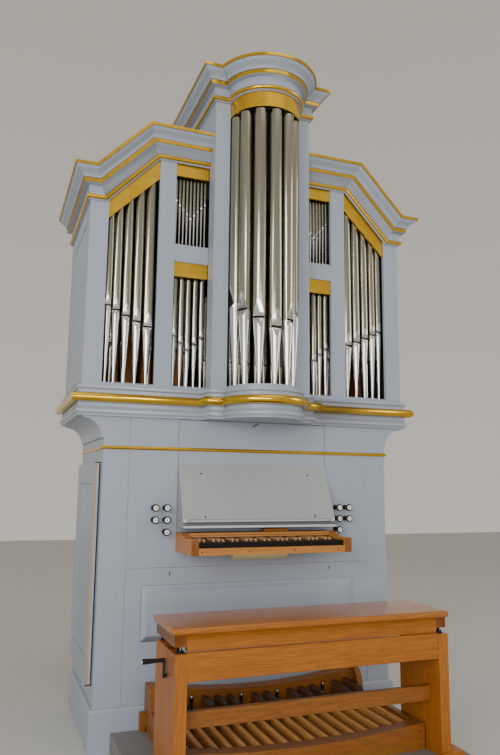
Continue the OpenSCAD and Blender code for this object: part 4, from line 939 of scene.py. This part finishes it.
def fit_tower_rank():
    """The rank that stands on the windchest behind the tower's feet, with painted shadow bars in its mouths.
    """
    slot = SLOT_OF["rear_metal_pipes"]
    front, top = (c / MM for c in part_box("windchest"))
    back, chest = front.y + 40, top.z
    foot, body, size, step = 150, 360, 34, 50
    places = [(x, back, chest) for x in range(-225, 226, step)]
    baked("tower_rank", make_pipe_tree(), ORGAN, slot, places, Diameter=size * MM, Foot=foot * MM,
          Body=body * MM, Metal=TIN)
    # Dark bars as painted shadow in the mouths
    row("tower_rank_mouth_shadows", make_row_tree(), slot, SHADOW, len(places),
        (places[0][0], back - size / 2, chest + foot), (step, 0, 0), (18, 3, 7))


def fit_corner_joints():
    """Fingers of the pedalboard's front board between those of its cheeks."""
    tree = make_row_tree()
    finger = 13.5
    front, corner = (c / MM for c in BOARDS)
    inner = CHEEK_IN / MM
    middle = (inner + corner.x) / 2
    for name, x in (("left", -middle), ("right", middle)):
        row("corner_fingers_" + name, tree, SLOT_OF["pedal_frame"], BOARD_X, 4,
            (x, front.y, front.z + finger / 2), (0, 0, 2 * finger), (corner.x - inner, 0.5, finger))


def fit_small_parts():
    """Keyholes in their rings with painted shadow in the holes, the hook under the round bay, three small
    blocks, and the rods' collars.
    """
    bm = bmesh.new()
    for place in KEYHOLES:
        turned(bm, Vector(place) * MM, FRONT, KEYHOLE_RING, 20)
    keep("keyhole_rings", bm, [IRON], ORGAN)
    # Black plates in the keyholes: painted shadow
    bm = bmesh.new()
    for x, y, z in KEYHOLES:
        turned(bm, Vector((x, y, z)) * MM, FRONT, [(KEYHOLE_R, -0.5), (KEYHOLE_R, 0.5)], 16)
        block(bm, (x - KEY_SLOT_R, y - 0.3, z - KEY_SLOT_H), (x + KEY_SLOT_R, y + 0.5, z))
    keep("keyhole_shadows", bm, [SHADOW], ORGAN)
    bm = bmesh.new()
    turned(bm, Vector(HOOK_AT) * MM, FRONT, HOOK_FOOT, 14)
    tube(bm, [Vector(at) * MM for at in HOOK], 2.5 * MM, 12)
    keep("bay_hook", bm, [IRON], ORGAN)
    for name, (low, high, finish, slot, edge) in SMALL_BLOCKS.items():
        bm = bmesh.new()
        block(bm, low, high)
        ease_edges(keep(name, bm, [finish], ORGAN), edge * MM)
    bm = bmesh.new()
    for x in (-ROD_X, ROD_X):
        for y in ROD_YS:
            turned(bm, Vector((x, y, END_TOP)), Vector((0, 0, 1)), COLLAR, 28)
    bmesh.ops.recalc_face_normals(bm, faces=bm.faces)
    keep("rod_collars", bm, [KNOB_BLACK], ORGAN)


def tube(bm, path, radius, steps):
    """A bent wire along a path, closed at both ends."""
    rings = []
    for i, at in enumerate(path):
        ahead = (path[min(i + 1, len(path) - 1)] - path[max(i - 1, 0)]).normalized()
        side = ahead.cross(Vector((1, 0, 0))).normalized()
        other = ahead.cross(side)
        rings.append([bm.verts.new(at + radius * (math.cos(2 * math.pi * k / steps) * side
                                                  + math.sin(2 * math.pi * k / steps) * other))
                      for k in range(steps)])
    for a, b in zip(rings, rings[1:]):
        for k in range(steps):
            j = (k + 1) % steps
            bm.faces.new((a[k], a[j], b[j], b[k]))
    bm.faces.new(rings[0])
    bm.faces.new(rings[-1])
    bmesh.ops.recalc_face_normals(bm, faces=bm.faces)


# Ovolo and quirk round a sunk field, as (inset, height) from the field's edge and floor, the margin of a
# door's field and how far a field is sunk, the upper side's field as (y0, y1, z0, z1), and the slots above
# the left side's belt and in its field
OVOLO = [(0, -0.5), (0, 4.6), (3, 4.6), (5.5, 4.0), (7.5, 2.6), (8.5, 0.8), (11, 0.8), (11, -0.5)]
QUIRK = [(11, -0.5), (11, 0.3), (13.5, 0.3), (13.5, -0.5)]
DOOR_MARGIN = 90
SUNK = 5
UPPER_FIELD = (90, 640, 1759, 2547)
SIDE_SLOTS = ((141, 622, 1705.5, 1708.5), (240, 256, 2231, 2235))


def frame_field(name, profile, finish, body, fields):
    """The same moulding round each field, given as (face x, side that it faces, y0, y1, z0, z1)."""
    bm = bmesh.new()
    for field in fields:
        mitred_frame(bm, *field, profile)
    keep(name, bm, [finish], body, 25)


def fit_panel_mouldings():
    """Mouldings and quirks round the fields of the doors and the upper sides, and the left side's slots; the
    quirks and the slots are dark with painted shade.
    """
    for node in DOORS:
        low, high = (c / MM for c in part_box(node))
        out = -1 if low.x < 0 else 1
        floor = (low.x if out < 0 else high.x) - out * SUNK
        near, away = low.y + DOOR_MARGIN, high.y - DOOR_MARGIN
        field = (floor, out, near, away, low.z + DOOR_MARGIN, high.z - DOOR_MARGIN)
        frame_field(node + "_moulding", OVOLO, PAINT, BODY_OF[node], [field])
        # The quirk is a dark strip of painted shade in the groove round the field
        frame_field(node + "_quirk", QUIRK, SEAM_AND_SHADE, BODY_OF[node], [field])
    low, high = (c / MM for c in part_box("upper_sides"))
    fields = [(out * (high.x - SUNK), out, *UPPER_FIELD) for out in (-1, 1)]
    frame_field("upper_side_mouldings", OVOLO, PAINT, ORGAN, fields)
    frame_field("upper_side_quirks", QUIRK, SEAM_AND_SHADE, ORGAN, fields)
    # Dark blocks of painted shadow in the left side's slots
    bm = bmesh.new()
    for y0, y1, z0, z1 in SIDE_SLOTS:
        block(bm, (low.x - 0.3, y0, z0), (low.x + 1, y1, z1))
    keep("upper_side_slot_shadows", bm, [SHADOW], ORGAN)


# Studio

# Soft area lights: name, place, what it aims at, size, power and colour
LIGHTS = (
    ("right_light", (6.2, -3.0, 3.8), (0, 0, 1.8), (2.6, 3.4), 70, (0.97, 0.99, 1.0)),
    ("left_light", (-5.0, -5.6, 2.9), (0, 0, 1.6), (2.4, 3.2), 190, (0.97, 0.985, 1.0)),
    ("front_light", (-2.2, -7.5, 1.8), (0, 0, 1.2), (4.0, 2.4), 140, (1.0, 0.99, 0.97)),
    ("top_light", (0.5, -2.5, 6.5), (0, 0, 1.5), (4.0, 4.0), 45, (1.0, 0.98, 0.94)),
)
SKY_LOW, SKY_HIGH, SKY_STRENGTH = (0.665, 0.625, 0.560, 1), (0.450, 0.425, 0.365, 1), 0.95
FLOOR_SIZE = 24


def make_studio():
    """A pale floor, a plain sky that dims upwards, and the lights."""
    bpy.ops.mesh.primitive_plane_add(size=FLOOR_SIZE, location=(0, 0, 0))
    floor = bpy.context.object
    floor.name = "floor"
    floor.data.materials.append(new_material("pale_floor", Base_Color=(0.62, 0.61, 0.59), Roughness=0.7)[0])
    world = bpy.context.scene.world or bpy.data.worlds.new("world")
    bpy.context.scene.world = world
    world.use_nodes = True
    tree = world.node_tree
    tree.nodes.clear()
    place = put(tree, "ShaderNodeTexCoord").outputs["Generated"]
    height = put(tree, "ShaderNodeSeparateXYZ", {0: place}).outputs[2]
    sky = blend_colours(tree, ranged(tree, height, -0.1, 0.9, 0.0, 1.0), SKY_LOW, SKY_HIGH)
    back = put(tree, "ShaderNodeBackground", {"Color": sky, "Strength": SKY_STRENGTH})
    put(tree, "ShaderNodeOutputWorld", {"Surface": back.outputs[0]})
    for name, at, aim, size, power, colour in LIGHTS:
        data = bpy.data.lights.new(name, "AREA")
        data.shape = "RECTANGLE"
        data.size, data.size_y = size
        data.energy = power
        data.color = colour
        light = bpy.data.objects.new(name, data)
        light.location = at
        light.rotation_euler = (Vector(aim) - Vector(at)).to_track_quat("-Z", "Y").to_euler()
        bpy.context.scene.collection.objects.link(light)


make_camera()
dress_all()
fit_screws()
fit_seams()
fit_tower_rank()
fit_corner_joints()
fit_small_parts()
fit_panel_mouldings()
make_studio()
